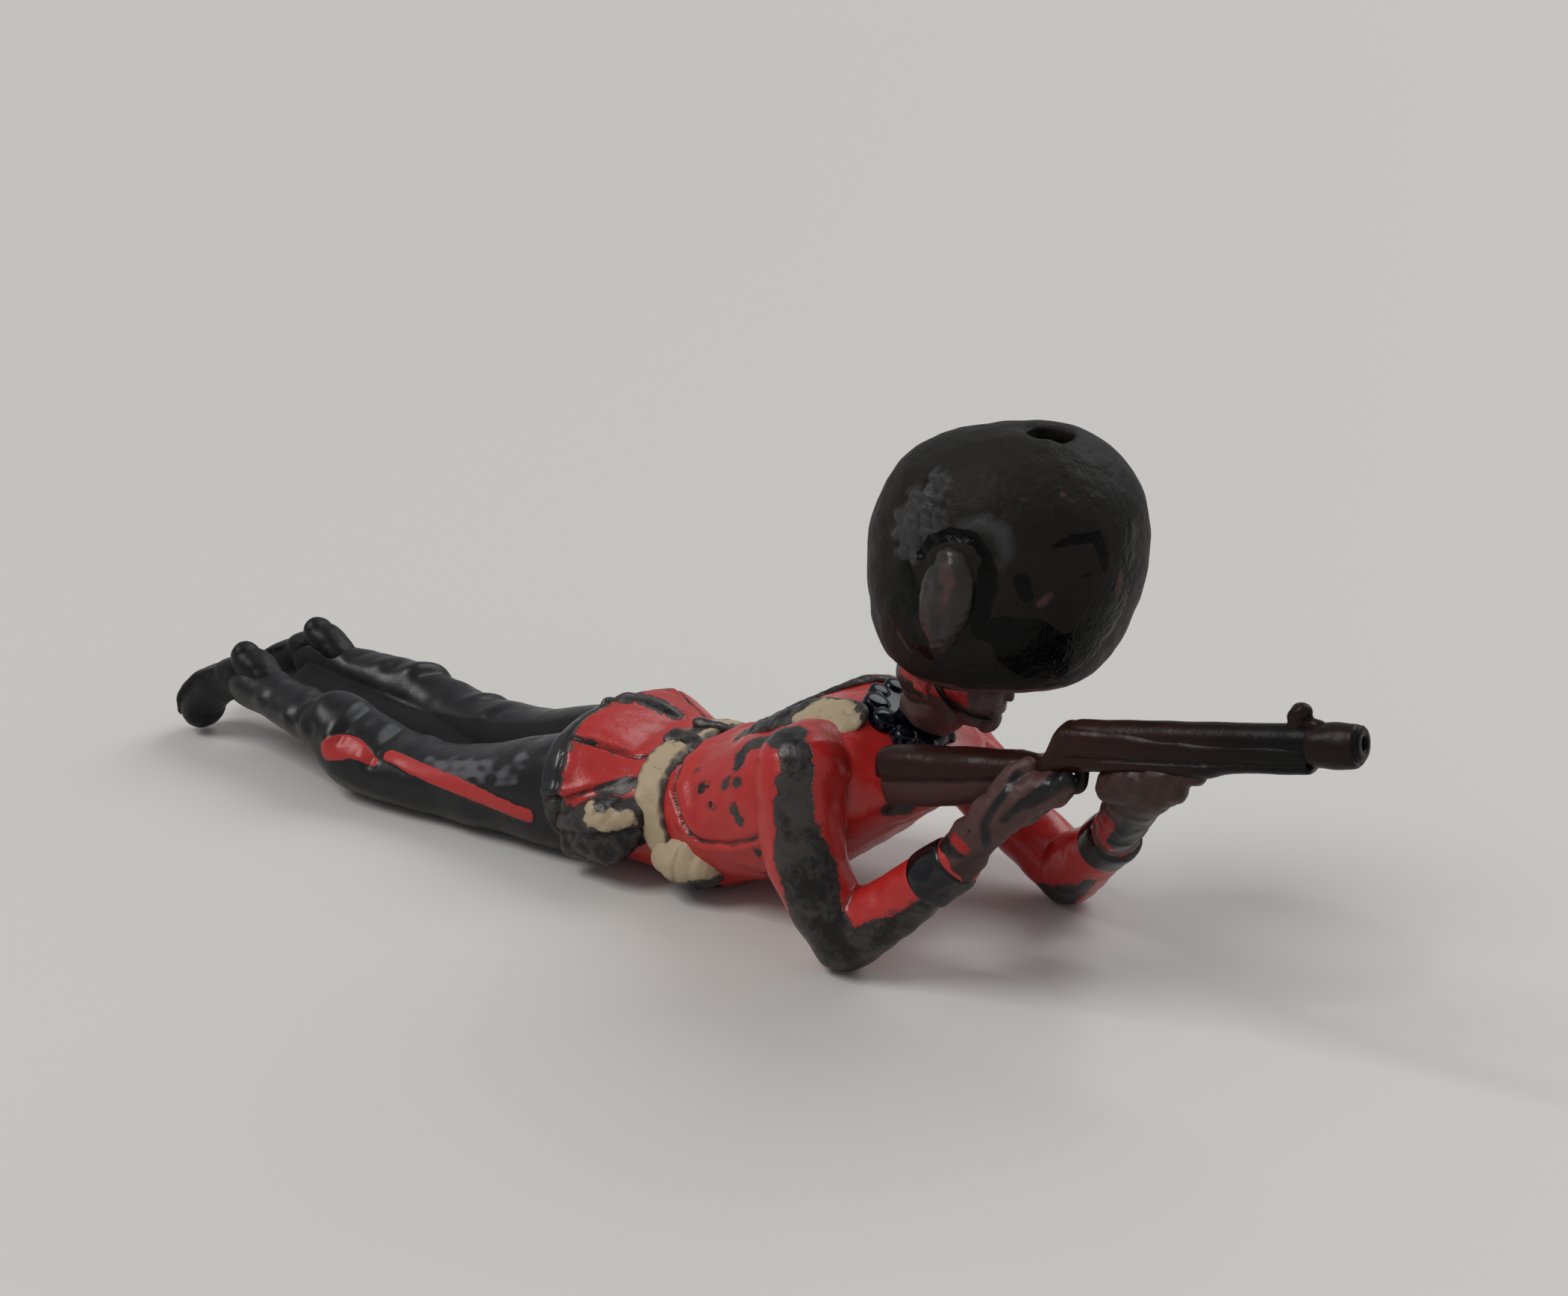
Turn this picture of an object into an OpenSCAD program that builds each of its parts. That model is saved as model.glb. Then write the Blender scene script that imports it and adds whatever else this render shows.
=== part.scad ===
// A hollow-cast metal toy soldier in a bearskin cap, lying prone and firing a rifle.
// X runs forward along the figure to the muzzle, Y to its left, Z up. The origin is on the
// table, under the middle of the belt, on which the belly rests.

/* [Tunic] */
// Length of the tunic from the belt to the front of the chest
tunic_l = 14; // [13.4:0.1:14.6]
// Width of the chest between the arms
chest_w = 12.4; // [11.8:0.1:13]
// Depth of the chest from back to front
chest_d = 8.8; // [8.2:0.1:9.4]
// Rise of the middle of the chest above the middle of the waist
chest_rise = 4.4; // [4:0.1:4.8]
// Width of the waist
waist_w = 10.6; // [10:0.1:11.2]
// Depth of the waist from back to front
waist_d = 6.6; // [6.4:0.1:6.8]
// Length of the tunic's skirt behind the belt
skirt_l = 5.7; // [5.2:0.1:6.2]
// Width of the skirt at its hem
hem_w = 12.6; // [12:0.1:13.2]
// Depth of the skirt over the seat
seat_d = 7.7; // [7.4:0.1:8]
// Wall of the hollow casting
wall = 1.1; // [0.8:0.1:1.3]

/* [Belt and kit] */
// Width of the waist belt
belt_w = 1.9; // [1.6:0.1:2.2]
// How far the belt stands proud of the tunic
belt_proud = 0.32; // [0.2:0.02:0.4]
// Length of an ammunition pouch along the body
pouch_l = 3.1; // [2.8:0.1:3.4]
// Width of an ammunition pouch across the body
pouch_w = 3; // [2.7:0.1:3.3]
// Distance between the middles of the two pouches
pouch_gap = 9.6; // [9.3:0.1:9.9]
// Width of a brace over the shoulder
brace_w = 1.9; // [1.6:0.1:2.2]
// How far a brace stands proud of the tunic
brace_proud = 0.34; // [0.24:0.02:0.4]
// Length of the haversack along the body
haversack_l = 4.6; // [4.2:0.1:5]
// Height of the haversack
haversack_h = 4; // [3.6:0.1:4.4]
// Thickness of the haversack beyond the skirt
haversack_t = 0.8; // [0.6:0.1:1]

/* [Arms] */
// Distance between the middles of the two shoulders
shoulder_span = 12; // [11.4:0.1:12.6]
// Thickness of an upper arm
upper_arm_d = 3.5; // [3.2:0.1:3.8]
// Thickness of a forearm
forearm_d = 3; // [2.8:0.1:3.2]
// Thickness of a wrist
wrist_d = 2.3; // [2.1:0.1:2.5]
// Thickness of the palm of a hand
hand_d = 1.9; // [1.7:0.1:2.1]
// Forward place of the right elbow
right_elbow_x = 12.8; // [12.4:0.1:13.2]
// Distance of the right elbow from the middle of the figure
right_elbow_y = 6.9; // [6.6:0.1:7.2]
// Forward place of the left elbow
left_elbow_x = 17.9; // [17.5:0.1:18.3]
// Distance of the left elbow from the middle of the figure
left_elbow_y = 5.8; // [5.5:0.1:6.1]
// Length of a cuff
cuff_l = 1.9; // [1.6:0.1:2.2]
// How far a cuff stands proud of the sleeve
cuff_proud = 0.16; // [0.1:0.02:0.24]

/* [Legs] */
// Length of a leg from the hem of the skirt to the toe
leg_l = 32; // [31:0.1:33]
// Thickness of a thigh
thigh_d = 5.9; // [5.6:0.1:6.1]
// Thickness of a leg at the knee
knee_d = 5.6; // [5.3:0.1:5.9]
// Thickness of a shin
shin_d = 3.8; // [3.5:0.1:4.1]
// Thickness of a boot
boot_d = 3.2; // [3:0.1:3.5]
// Distance between the middles of the two knees
knee_gap = 8; // [7.6:0.1:8.4]

/* [Head] */
// Height of the bearskin cap from its rim to its crown
cap_h = 12.3; // [11.8:0.1:12.8]
// Length of the cap from front to back
cap_l = 13.1; // [12.7:0.1:13.5]
// Width of the cap from side to side
cap_w = 11.8; // [11.4:0.1:12.2]
// Wall of the cap
cap_wall = 1; // [0.8:0.1:1.2]
// Diameter of the vent left in the crown by the casting
vent_d = 2.4; // [2:0.1:2.8]
// Height of the plume
plume_h = 3.4; // [3.1:0.1:3.7]
// Width of the plume
plume_w = 2.8; // [2.5:0.1:3.1]
// How far the plume stands proud of the cap
plume_t = 0.75; // [0.6:0.05:0.9]
// Width of the face
face_w = 4.9; // [4.6:0.1:5.2]
// Length of the head from the nape to the lips
face_l = 5.3; // [5.1:0.1:5.5]
// Diameter of the neck
neck_d = 3.4; // [3.1:0.1:3.6]
// Diameter of the spigot on which the head turns
spigot_d = 1.6; // [1.4:0.1:1.8]
// Running clearance round the spigot
spigot_clearance = 0.05; // [0.02:0.01:0.08]
// Diameter of the collar
collar_d = 4.9; // [4.6:0.1:5.1]
// Height of the collar along the neck
collar_h = 1.5; // [1.3:0.1:1.6]

/* [Rifle] */
// Length of the rifle from the butt to the muzzle
rifle_l = 23.4; // [22.8:0.1:24]
// Height of the butt at the shoulder
butt_h = 2.6; // [2.4:0.1:2.8]
// Thickness of the stock
stock_t = 1.8; // [1.6:0.1:2]
// Diameter of the barrel
barrel_d = 1.5; // [1.3:0.05:1.6]
// Length of the barrel from the breech to the muzzle
barrel_l = 13.1; // [12.8:0.1:13.4]
// Height of the nose cap round the muzzle
nose_cap_h = 1.95; // [1.8:0.05:2.1]
// Height of the front sight above the barrel
sight_h = 0.95; // [0.8:0.05:1.1]
// Distance of the rifle from the middle of the figure
rifle_y = 4.8; // [4.6:0.1:5]
// Height of the line of the barrel above the table, at the butt
rifle_z = 12.3; // [12:0.1:12.6]

/* [Hidden] */

// Colours of the paint
scarlet = "#c9302a";
cream = "#cfc0a0";
black_paint = "#1c1c20";
collar_blue = "#14182c";
bare_metal = "#4a4442";
flesh = "#9c6a5e";
stock_brown = "#5a2c22";

// Sides of each ring of a skin, and rings along it
sides = 28;
skin_steps = 11;
// Hulls along a limb, and the facets of a ball on a limb and on smaller things
limb_steps = 8;
$fn = 16;
fine_facets = 10;
// Facets of a piece that stays truly round
round_facets = 48;
// Overrun of cuts, longer than any piece
far = 2 * leg_l;

// Places along the body, from the edges of the belt
belt_front = belt_w / 2;
belt_back = belt_front - belt_w;
hem_x = belt_back - skirt_l;

// A smooth curve through the rows of a table, at t from 0 to 1
function smooth(table, t) =
    let (n = len(table) - 1, k = min(floor(t * n), n - 1), u = t * n - k)
    let (a = table[max(k - 1, 0)], b = table[k], c = table[k + 1], d = table[min(k + 2, n)])
    b + u * ((c - a) / 2 + u * ((2 * a - 5 * b + 4 * c - d) / 2 + u * (3 * b - 3 * c + d - a) / 2));
function unit(v) = v / norm(v);
function bent(v, power) = sign(v) * pow(abs(v), power);

// The rings of a skin whose rows give x, y, z, half width, half height, squareness and slope.
// Each ring crosses the figure and leans back by its slope. None goes past the limits low and
// high in y and z, which keep a piece on the table or on its own side of the figure.
function upright(row, inset, low, high) = [
    for (a = [0 : 360 / sides : 359])
        let (y = row[1] + (row[3] - inset) * bent(cos(a), 2 / row[5]))
        let (z = row[2] + (row[4] - inset) * bent(sin(a), 2 / row[5]))
        let (z_kept = min(max(z, low[1] + inset), high[1]))
        [row[0] - row[6] * (z_kept - waist_z), min(max(y, low[0]), high[0]), z_kept]
];
function rings(table, first, last, steps, inset = 0, low = [-far, 0], high = [far, far]) = [
    for (i = [0 : steps])
        upright(smooth(table, first + (last - first) * i / steps), inset, low, high)
];

// Closes a list of rings into one solid, with a flat face on the first and the last
module skin(list) {
    n = len(list[0]);
    m = len(list);
    polyhedron(
        points = [for (r = list) each r],
        faces = concat(
            [[for (j = [0 : n - 1]) j]],
            [[for (j = [n - 1 : -1 : 0]) (m - 1) * n + j]],
            [for (i = [0 : m - 2], j = [0 : n - 1]) [i * n + j, (i + 1) * n + j, (i + 1) * n + (j + 1) % n]],
            [for (i = [0 : m - 2], j = [0 : n - 1]) [i * n + j, (i + 1) * n + (j + 1) % n, i * n + (j + 1) % n]]
        )
    );
}

module ball(place, radius) {
    translate(place) sphere(r = radius);
}

// Balls joined in turn along the smooth curve of a table whose rows give x, y, z and radius
module limb(table) {
    for (i = [0 : limb_steps - 1]) hull() {
        for (k = [i, i + 1]) {
            row = smooth(table, k / limb_steps);
            ball([row[0], row[1], row[2]], row[3]);
        }
    }
}

// Everything past a plane, on the side that it points to
module beyond(place, way) {
    translate(place)
        rotate([0, acos(way[2] / norm(way)), atan2(way[1], way[0])])
            translate([-far, -far, 0]) cube([2 * far, 2 * far, 2 * far]);
}

module below_table() {
    beyond([0, 0, 0], [0, 0, -1]);
}

// A padded box with rounded corners, drawn in at the two ends of its length along x
module padded(place, size, corner) {
    function drawn_in(k) = 1 - drawn_share * pow(abs(2 * k / limb_steps - 1), drawn_power);
    drawn_share = 0.35;
    drawn_power = 4;
    for (i = [0 : limb_steps - 1]) hull() {
        for (k = [i, i + 1], side = [-1, 1], top = [-1, 1]) {
            ball(place + [
                (size[0] - 2 * corner) * (k / limb_steps - 1 / 2),
                side * drawn_in(k) * (size[1] / 2 - corner),
                top * drawn_in(k) * (size[2] / 2 - corner)
            ], corner, $fn = fine_facets);
        }
    }
}

// The trunk. Rows give the share of the length, then shares of the width, depth and rise,
// and the squareness of the ring. The first ring is that of the waist.
waist_z = waist_d / 2;
waist_squareness = 2.5;
tunic_shares = [
    [0.12, 0.91, 0.88, 0.12, 2.5],
    [0.22, 0.96, 0.94, 0.31, 2.5],
    [0.40, 1.00, 1.01, 0.58, 2.5],
    [0.56, 1.00, 1.01, 0.78, 2.5],
    [0.71, 0.97, 0.80, 0.96, 2.5],
    [0.84, 0.83, 0.50, 1.02, 2.4],
    [0.94, 0.58, 0.29, 1.05, 2.3],
    [1.00, 0.28, 0.12, 1.07, 2.2],
];
waist_row = [belt_front, 0, waist_z, waist_w / 2, waist_d / 2, waist_squareness, 0];
tunic_table = concat([waist_row], [
    for (r = tunic_shares)
        [
            belt_front + tunic_l * r[0], 0, waist_z + chest_rise * r[3],
            chest_w / 2 * r[1], chest_d / 2 * r[2], r[4], 0
        ]
]);
// Rows of the skirt give the share of its length, then shares of the width, depth and rise
skirt_shares = [
    [0.20, 0.88, 0.84, 0.84, 2.4],
    [0.45, 0.93, 0.91, 0.91, 2.4],
    [0.70, 0.98, 0.99, 0.99, 2.4],
    [0.90, 1.00, 0.95, 0.95, 2.4],
    [1.00, 1.00, 0.90, 0.90, 2.4],
];
hem_slope = 0.3;
skirt_table = concat([[belt_back, 0, waist_z, waist_w / 2, waist_d / 2, waist_squareness, 0]], [
    for (r = skirt_shares)
        [
            belt_back - skirt_l * r[0], 0, seat_d / 2 * r[3],
            hem_w / 2 * r[1], seat_d / 2 * r[2], r[4], hem_slope * r[0]
        ]
]);
// The belt joins the last ring of the skirt to the first ring of the tunic
belt_table = [
    for (r = [skirt_table[0], tunic_table[0]])
        [r[0], 0, r[2], r[3] + belt_proud, r[4] + belt_proud, r[5], 0]
];
belt_bore_table = [skirt_table[0], tunic_table[0]];

// A place on the chest, by shares of its length, of the span of the shoulders, and of its rise
// and its depth above the waist
function on_chest(shares) = [
    belt_front + tunic_l * shares[0],
    shoulder_span * shares[1],
    waist_z + chest_rise * shares[2] + chest_d * shares[3]
];

// Where the neck leaves the chest, and how far it leans forward
neck_lean = 27;
neck_shares = [0.75, 0, 0.95, 0.25];
neck_foot = on_chest(neck_shares);

module tunic_form() {
    skin(rings(tunic_table, 0, 1, skin_steps));
}

// Puts something on the axis of the neck, with z up the neck from the foot of the collar
module on_neck() {
    translate(neck_foot) rotate([0, neck_lean, 0]) children();
}

// The hollow of the casting opens at the belt and ends below the collar
hollow_end_share = 0.5;

module tunic_body() {
    color(scarlet) difference() {
        skin(concat(
            rings(tunic_table, hollow_end_share, 0, skin_steps, wall),
            rings(tunic_table, 0, 1, skin_steps)
        ));
        on_neck() cylinder(d = collar_d, h = far, $fn = round_facets);
    }
}

module skirt_form() {
    skin(rings(skirt_table, 1, 0, skin_steps));
}

// The hollow of the skirt opens at the belt and ends short of the hem
skirt_hollow_share = 0.86;

module tunic_skirt() {
    color(scarlet) skin(concat(
        rings(skirt_table, 1, 0, skin_steps),
        rings(skirt_table, 0, skirt_hollow_share, skin_steps, wall)
    ));
}

module belt_form() {
    skin(rings(belt_table, 0, 1, 1));
}

module waist_belt() {
    inner = rings(belt_bore_table, 0, 1, 1, wall);
    outer = rings(belt_table, 0, 1, 1);
    color(cream) loop_skin([inner[0], outer[0], outer[1], inner[1]]);
}

// Closes a list of rings round into a tube
module loop_skin(list) {
    n = len(list[0]);
    m = len(list);
    polyhedron(
        points = [for (r = list) each r],
        faces = [
            for (i = [0 : m - 1], j = [0 : n - 1], half = [0, 1])
                let (a = i * n + j, b = ((i + 1) % m) * n + j)
                let (c = ((i + 1) % m) * n + (j + 1) % n, d = i * n + (j + 1) % n)
                half == 0 ? [a, b, c] : [a, c, d]
        ]
    );
}

// The two ammunition pouches lie in front of the belt, low on the flanks
pouch_h_share = 0.9;
pouch_rise_share = 0.75;
pouch_lap_share = 0.35;
pouch_h = pouch_h_share * pouch_w;
pouch_corner = pouch_w / 6;
pouch_lean = 35;

module pouch(side) {
    x = belt_front + pouch_l / 2 - belt_w * pouch_lap_share;
    color(cream) difference() {
        translate([x, side * pouch_gap / 2, pouch_h * pouch_rise_share]) rotate([side * pouch_lean, 0, 0])
            padded([0, 0, 0], [pouch_l, pouch_w, pouch_h], pouch_corner);
        tunic_form();
        belt_form();
        below_table();
    }
}

module right_pouch() {
    pouch(-1);
}

module left_pouch() {
    pouch(1);
}

// A brace climbs the back from the belt, away from the spine, and goes over the shoulder in
// front of the arm
brace_waist_share = 0.13;
brace_side_share = 0.25;
brace_end_share = 0.60;
function brace_rows(side) = [
    for (i = [0 : limb_steps])
        let (r = smooth(tunic_table, brace_end_share * i / limb_steps))
        let (share = brace_waist_share + (brace_side_share - brace_waist_share) * i / limb_steps)
        let (y = side * chest_w * share, v = y / r[3])
        [r[0], y, r[2] + r[4] * pow(1 - pow(abs(v), r[5]), 1 / r[5])]
];

module brace_form(side) {
    rows = brace_rows(side);
    for (i = [0 : limb_steps - 1]) hull() {
        for (k = [i, i + 1], edge = [-1, 1]) {
            ball(rows[k] + [0, edge * (brace_w / 2 - brace_proud), 0], brace_proud, $fn = fine_facets);
        }
    }
}

module brace(side) {
    color(cream) difference() {
        brace_form(side);
        tunic_form();
        belt_form();
        on_neck() cylinder(d = collar_d, h = far, $fn = round_facets);
    }
}

module right_brace() {
    brace(-1);
}

module left_brace() {
    brace(1);
}

// The haversack hangs from the belt on the right hip. Its inner half is sunk in the skirt.
haversack_skirt_share = 0.6;
haversack_rise_share = 0.78;

module haversack() {
    row = smooth(skirt_table, haversack_skirt_share);
    place = [belt_back - haversack_l / 2, haversack_t - row[3], row[2] * haversack_rise_share];
    color(cream) difference() {
        padded(place, [haversack_l, 4 * haversack_t, haversack_h], haversack_t / 2);
        skirt_form();
        belt_form();
    }
}

// The collar stands on the chest and its bore takes the spigot of the head
collar_slope = collar_h / 6;

module collar() {
    color(collar_blue) on_neck() rotate_extrude($fn = round_facets) polygon([
        [spigot_d / 2 + spigot_clearance, 0],
        [collar_d / 2, 0],
        [collar_d / 2 - collar_slope, collar_h],
        [spigot_d / 2 + spigot_clearance, collar_h]
    ]);
}

// The head turns on the spigot. The neck stands just clear of the collar.
neck_gap = 2 * spigot_clearance;
neck_base = collar_h + neck_gap;

module neck_spigot() {
    color(bare_metal) on_neck() translate([0, 0, neck_gap])
        cylinder(d = spigot_d, h = neck_base - neck_gap, $fn = round_facets);
}

// The cap. Rows give the share of its height, then shares of its length, its width and
// of the lean of its middle, and the squareness of the ring.
cap_lean = cap_l / 12;
cap_place_shares = [0.37, 0.31];
cap_foot = neck_foot + [cap_l * cap_place_shares[0], 0, cap_h * cap_place_shares[1]];
cap_shares = [
    [0.00, 0.40, 0.34, -0.05, 2.1],
    [0.03, 0.60, 0.56, -0.05, 2.1],
    [0.10, 0.78, 0.76, -0.05, 2.1],
    [0.25, 0.92, 0.93, 0.15, 2.1],
    [0.45, 1.00, 1.00, 0.45, 2.0],
    [0.62, 0.99, 0.98, 0.70, 2.0],
    [0.78, 0.88, 0.87, 0.95, 2.0],
    [0.90, 0.66, 0.66, 1.30, 2.0],
    [0.97, 0.40, 0.42, 1.75, 2.0],
];
// The crown ends at the edge of the vent
vent_lean_share = 2.05;
cap_table = concat(
    [
        for (r = cap_shares)
            [
                cap_foot[0] + cap_lean * r[3], cap_foot[1], cap_foot[2] + cap_h * r[0],
                cap_l / 2 * r[1], cap_w / 2 * r[2], r[4]
            ]
    ],
    [[cap_foot[0] + cap_lean * vent_lean_share, cap_foot[1], cap_foot[2] + cap_h, vent_d / 2, vent_d / 2, 2]]
);

// The rings of a skin that stands on end. They tip a little back at the rim and forward at the
// crown. The wall lies inside each ring low on the cap and below it at the crown, where the
// rings of the hollow meet the vent.
function level(row, tip, inset, drop) = [
    for (a = [0 : 360 / sides : 359])
        let (x = (row[3] - inset) * bent(cos(a), 2 / row[5]), y = (row[4] - inset) * bent(sin(a), 2 / row[5]))
        [row[0] + x * cos(tip), row[1] + y, row[2] - drop + x * sin(tip)]
];
foot_tip = 1;
crown_tip = -5;
cap_steps = 14;
crown_power = 3;
function cap_tip(t) = foot_tip + (crown_tip - foot_tip) * t;
function cap_rings(first, last, inset = 0) = [
    for (i = [0 : cap_steps])
        let (t = first + (last - first) * i / cap_steps, below = pow(t, crown_power))
        level(smooth(cap_table, t), cap_tip(t), inset * (1 - below), inset * below)
];

cap_hollow_share = 0.12;

module cap_form() {
    skin(cap_rings(0, 1));
}

module bearskin_cap() {
    color(black_paint) skin(concat(cap_rings(0, 1), cap_rings(1, cap_hollow_share, cap_wall)));
}

// The rifle lies along its own line: u forward from the butt, v up from the top of the barrel
// and w to the left. Its pitch is in degrees.
rifle_pitch = 10.8;
butt_place_share = 0.86;
rifle_foot = [belt_front + tunic_l * butt_place_share, -rifle_y, rifle_z];
breech_u = rifle_l - barrel_l;
function rifle_at(u, v, w) = rifle_foot + [
    u * cos(rifle_pitch) - v * sin(rifle_pitch),
    w,
    u * sin(rifle_pitch) + v * cos(rifle_pitch)
];
module on_rifle() {
    translate(rifle_foot) rotate([0, -rifle_pitch, 0]) children();
}

// Rows of the stock give the share of the rifle's length, then the height of the middle below
// the line, half the height and half the thickness, as shares of the butt's height and the
// stock's thickness, and the squareness.
stock_shares = [
    [0.000, -1.15, 0.50, 0.82, 3.2],
    [0.020, -1.15, 0.52, 0.92, 3.2],
    [0.120, -1.14, 0.50, 1.00, 3.0],
    [0.230, -1.10, 0.45, 1.00, 2.8],
    [0.310, -1.00, 0.34, 0.92, 2.6],
    [0.370, -0.86, 0.26, 0.90, 2.6],
    [0.410, -0.53, 0.42, 0.98, 3.0],
    [0.450, -0.46, 0.40, 1.00, 3.2],
    [0.600, -0.50, 0.36, 1.02, 3.0],
    [0.700, -0.56, 0.34, 1.02, 2.8],
    [0.760, -0.50, 0.29, 0.96, 2.8],
    [0.910, -0.50, 0.25, 0.92, 2.8],
];
stock_table = [
    for (r = stock_shares)
        [rifle_l * r[0], 0, butt_h * r[1], stock_t / 2 * r[3], butt_h * r[2], r[4], 0]
];
stock_steps = 22;
nose_u = stock_table[len(stock_table) - 1][0];

module stock_form() {
    on_rifle() skin(rings(stock_table, 0, 1, stock_steps, 0, [-far, -far]));
}

module on_barrel(u) {
    on_rifle() translate([u, 0, -barrel_d / 2]) rotate([0, 90, 0]) children();
}

bedding_gap = barrel_d / 60;

module rifle_stock() {
    color(stock_brown) difference() {
        stock_form();
        on_barrel(breech_u) cylinder(d = barrel_d + 2 * bedding_gap, h = far, $fn = round_facets);
        tunic_form();
        limb(right_upper_arm_table);
    }
}

module rifle_barrel() {
    color(bare_metal) on_barrel(breech_u) cylinder(d = barrel_d, h = barrel_l, $fn = round_facets);
}

// The nose cap clasps the barrel just ahead of the stock, with most of its metal below
nose_drop_share = 0.6;

module nose_cap() {
    color(black_paint) difference() {
        on_barrel(nose_u) translate([nose_drop_share * (nose_cap_h - barrel_d) / 2, 0, 0])
            cylinder(d = nose_cap_h, h = rifle_l - nose_u - nose_cap_h / 8, $fn = round_facets);
        on_barrel(nose_u - stock_t) cylinder(d = barrel_d, h = far, $fn = round_facets);
    }
}

// A blade on the barrel behind the nose cap, with a round head
sight_head_share = 0.75;
blade_share = 0.8;

module front_sight() {
    head_d = sight_h * sight_head_share;
    blade_t = head_d * blade_share;
    color(black_paint) difference() {
        on_rifle() translate([nose_u - head_d / 2, 0, 0]) rotate([90, 0, 0]) {
            translate([0, sight_h - head_d / 2, 0])
                cylinder(d = head_d, h = head_d, center = true, $fn = round_facets);
            translate([0, sight_h / 2 - barrel_d / 4, 0])
                cube([blade_t, sight_h + barrel_d / 2 - head_d, blade_t], center = true);
        }
        on_barrel(0) cylinder(d = barrel_d, h = far, $fn = round_facets);
    }
}

// Places on the arms, shared by the pieces that meet there. A wrist is placed by shares of the
// rifle's length along it, of the butt's height below its line and of the wrist to its left.
right_shoulder_shares = [0.61, -0.50, 0.58, 0.35];
left_shoulder_shares = [0.68, 0.47, 0.58, 0.175];
right_wrist_shares = [0.17, -2.52, -0.55];
left_wrist_shares = [0.35, -2.90, 2.70];
function wrist_at(shares) = rifle_at(rifle_l * shares[0], butt_h * shares[1], wrist_d * shares[2]);
right_shoulder = on_chest(right_shoulder_shares);
right_elbow = [right_elbow_x, -right_elbow_y, upper_arm_d / 2];
right_wrist = wrist_at(right_wrist_shares);
left_shoulder = on_chest(left_shoulder_shares);
left_elbow = [left_elbow_x, left_elbow_y, upper_arm_d / 2];
left_wrist = wrist_at(left_wrist_shares);

function with_radius(place, radius) = [place[0], place[1], place[2], radius];

// Rows for an upper arm give the share of the way from the shoulder to the elbow, shares of
// that distance by which it bows in x, y and z, and of the arm's thickness for the radius
right_arm_shares = [[0, 0, 0, 0, 0.68], [0.5, -0.07, -0.09, -0.02, 0.53], [1, 0, 0, 0, 0.5]];
left_arm_shares = [[0, 0, 0, 0, 0.62], [0.5, -0.02, 0.06, -0.07, 0.49], [1, 0, 0, 0, 0.5]];
function upper_arm_table(shoulder, elbow, shares) = [
    for (r = shares)
        with_radius(
            shoulder + r[0] * (elbow - shoulder) + norm(elbow - shoulder) * [r[1], r[2], r[3]],
            upper_arm_d * r[4]
        )
];
right_upper_arm_table = upper_arm_table(right_shoulder, right_elbow, right_arm_shares);
left_upper_arm_table = upper_arm_table(left_shoulder, left_elbow, left_arm_shares);

forearm_belly_share = 0.45;
function forearm_table(elbow, wrist) = [
    with_radius(elbow, upper_arm_d / 2),
    with_radius(elbow + forearm_belly_share * (wrist - elbow), forearm_d / 2),
    with_radius(wrist, wrist_d / 2),
];
right_forearm_table = forearm_table(right_elbow, right_wrist);
left_forearm_table = forearm_table(left_elbow, left_wrist);

// The plane that halves the bend of an elbow points from the upper arm to the forearm
function place_of(row) = [row[0], row[1], row[2]];
function elbow_way(upper, fore) =
    unit(place_of(fore[1]) - place_of(fore[0])) - unit(place_of(upper[1]) - place_of(upper[2]));

module upper_arm(upper, fore, side) {
    color(scarlet) difference() {
        limb(upper);
        beyond(place_of(fore[0]), elbow_way(upper, fore));
        below_table();
        tunic_form();
        brace_form(side);
    }
}

module forearm(upper, fore) {
    way = unit(place_of(fore[2]) - place_of(fore[0]));
    color(scarlet) difference() {
        limb(fore);
        beyond(place_of(fore[0]), -elbow_way(upper, fore));
        beyond(place_of(fore[2]) - cuff_l * way, way);
        below_table();
    }
}

module cuff(fore) {
    way = unit(place_of(fore[2]) - place_of(fore[0]));
    proud = [for (row = fore) row + [0, 0, 0, cuff_proud]];
    color(black_paint) difference() {
        limb(proud);
        beyond(place_of(fore[2]), way);
        beyond(place_of(fore[2]) - cuff_l * way, -way);
    }
}

module right_upper_arm() {
    upper_arm(right_upper_arm_table, right_forearm_table, -1);
}

module left_upper_arm() {
    upper_arm(left_upper_arm_table, left_forearm_table, 1);
}

module right_forearm() {
    forearm(right_upper_arm_table, right_forearm_table);
}

module left_forearm() {
    forearm(left_upper_arm_table, left_forearm_table);
}

module right_cuff() {
    cuff(right_forearm_table);
}

module left_cuff() {
    cuff(left_forearm_table);
}

// Rows for a hand give shares of the rifle's length along it, of the butt's height below its
// line and of the stock's thickness to the left, and of the hand's thickness for the radius
function on_stock(shares) = [
    for (r = shares)
        with_radius(rifle_at(rifle_l * r[0], butt_h * r[1], stock_t * r[2]), hand_d * r[3])
];
right_palm_shares = [
    [0.235, -1.92, -0.70, 0.60],
    [0.300, -1.45, -0.66, 0.66],
    [0.350, -1.22, -0.55, 0.58],
    [0.405, -1.13, -0.40, 0.42],
];
right_thumb_shares = [
    [0.300, -1.15, -0.80, 0.34],
    [0.325, -0.72, -0.45, 0.32],
    [0.345, -0.62, 0.25, 0.30],
];
right_fingers_shares = [
    [0.290, -1.62, -0.40, 0.42],
    [0.320, -1.55, 0.35, 0.40],
    [0.345, -1.18, 0.72, 0.34],
];
left_palm_shares = [
    [0.430, -2.30, 1.85, 0.58],
    [0.490, -1.72, 1.20, 0.66],
    [0.540, -1.36, 0.45, 0.66],
    [0.595, -1.20, -0.05, 0.48],
    [0.640, -1.10, -0.25, 0.34],
];
left_thumb_shares = [
    [0.515, -1.35, -0.30, 0.36],
    [0.505, -1.00, -0.58, 0.31],
    [0.508, -0.66, -0.60, 0.27],
];
left_fingers_shares = [
    [0.540, -1.40, 0.60, 0.44],
    [0.580, -1.05, 0.85, 0.38],
    [0.610, -0.72, 0.78, 0.30],
];

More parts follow.
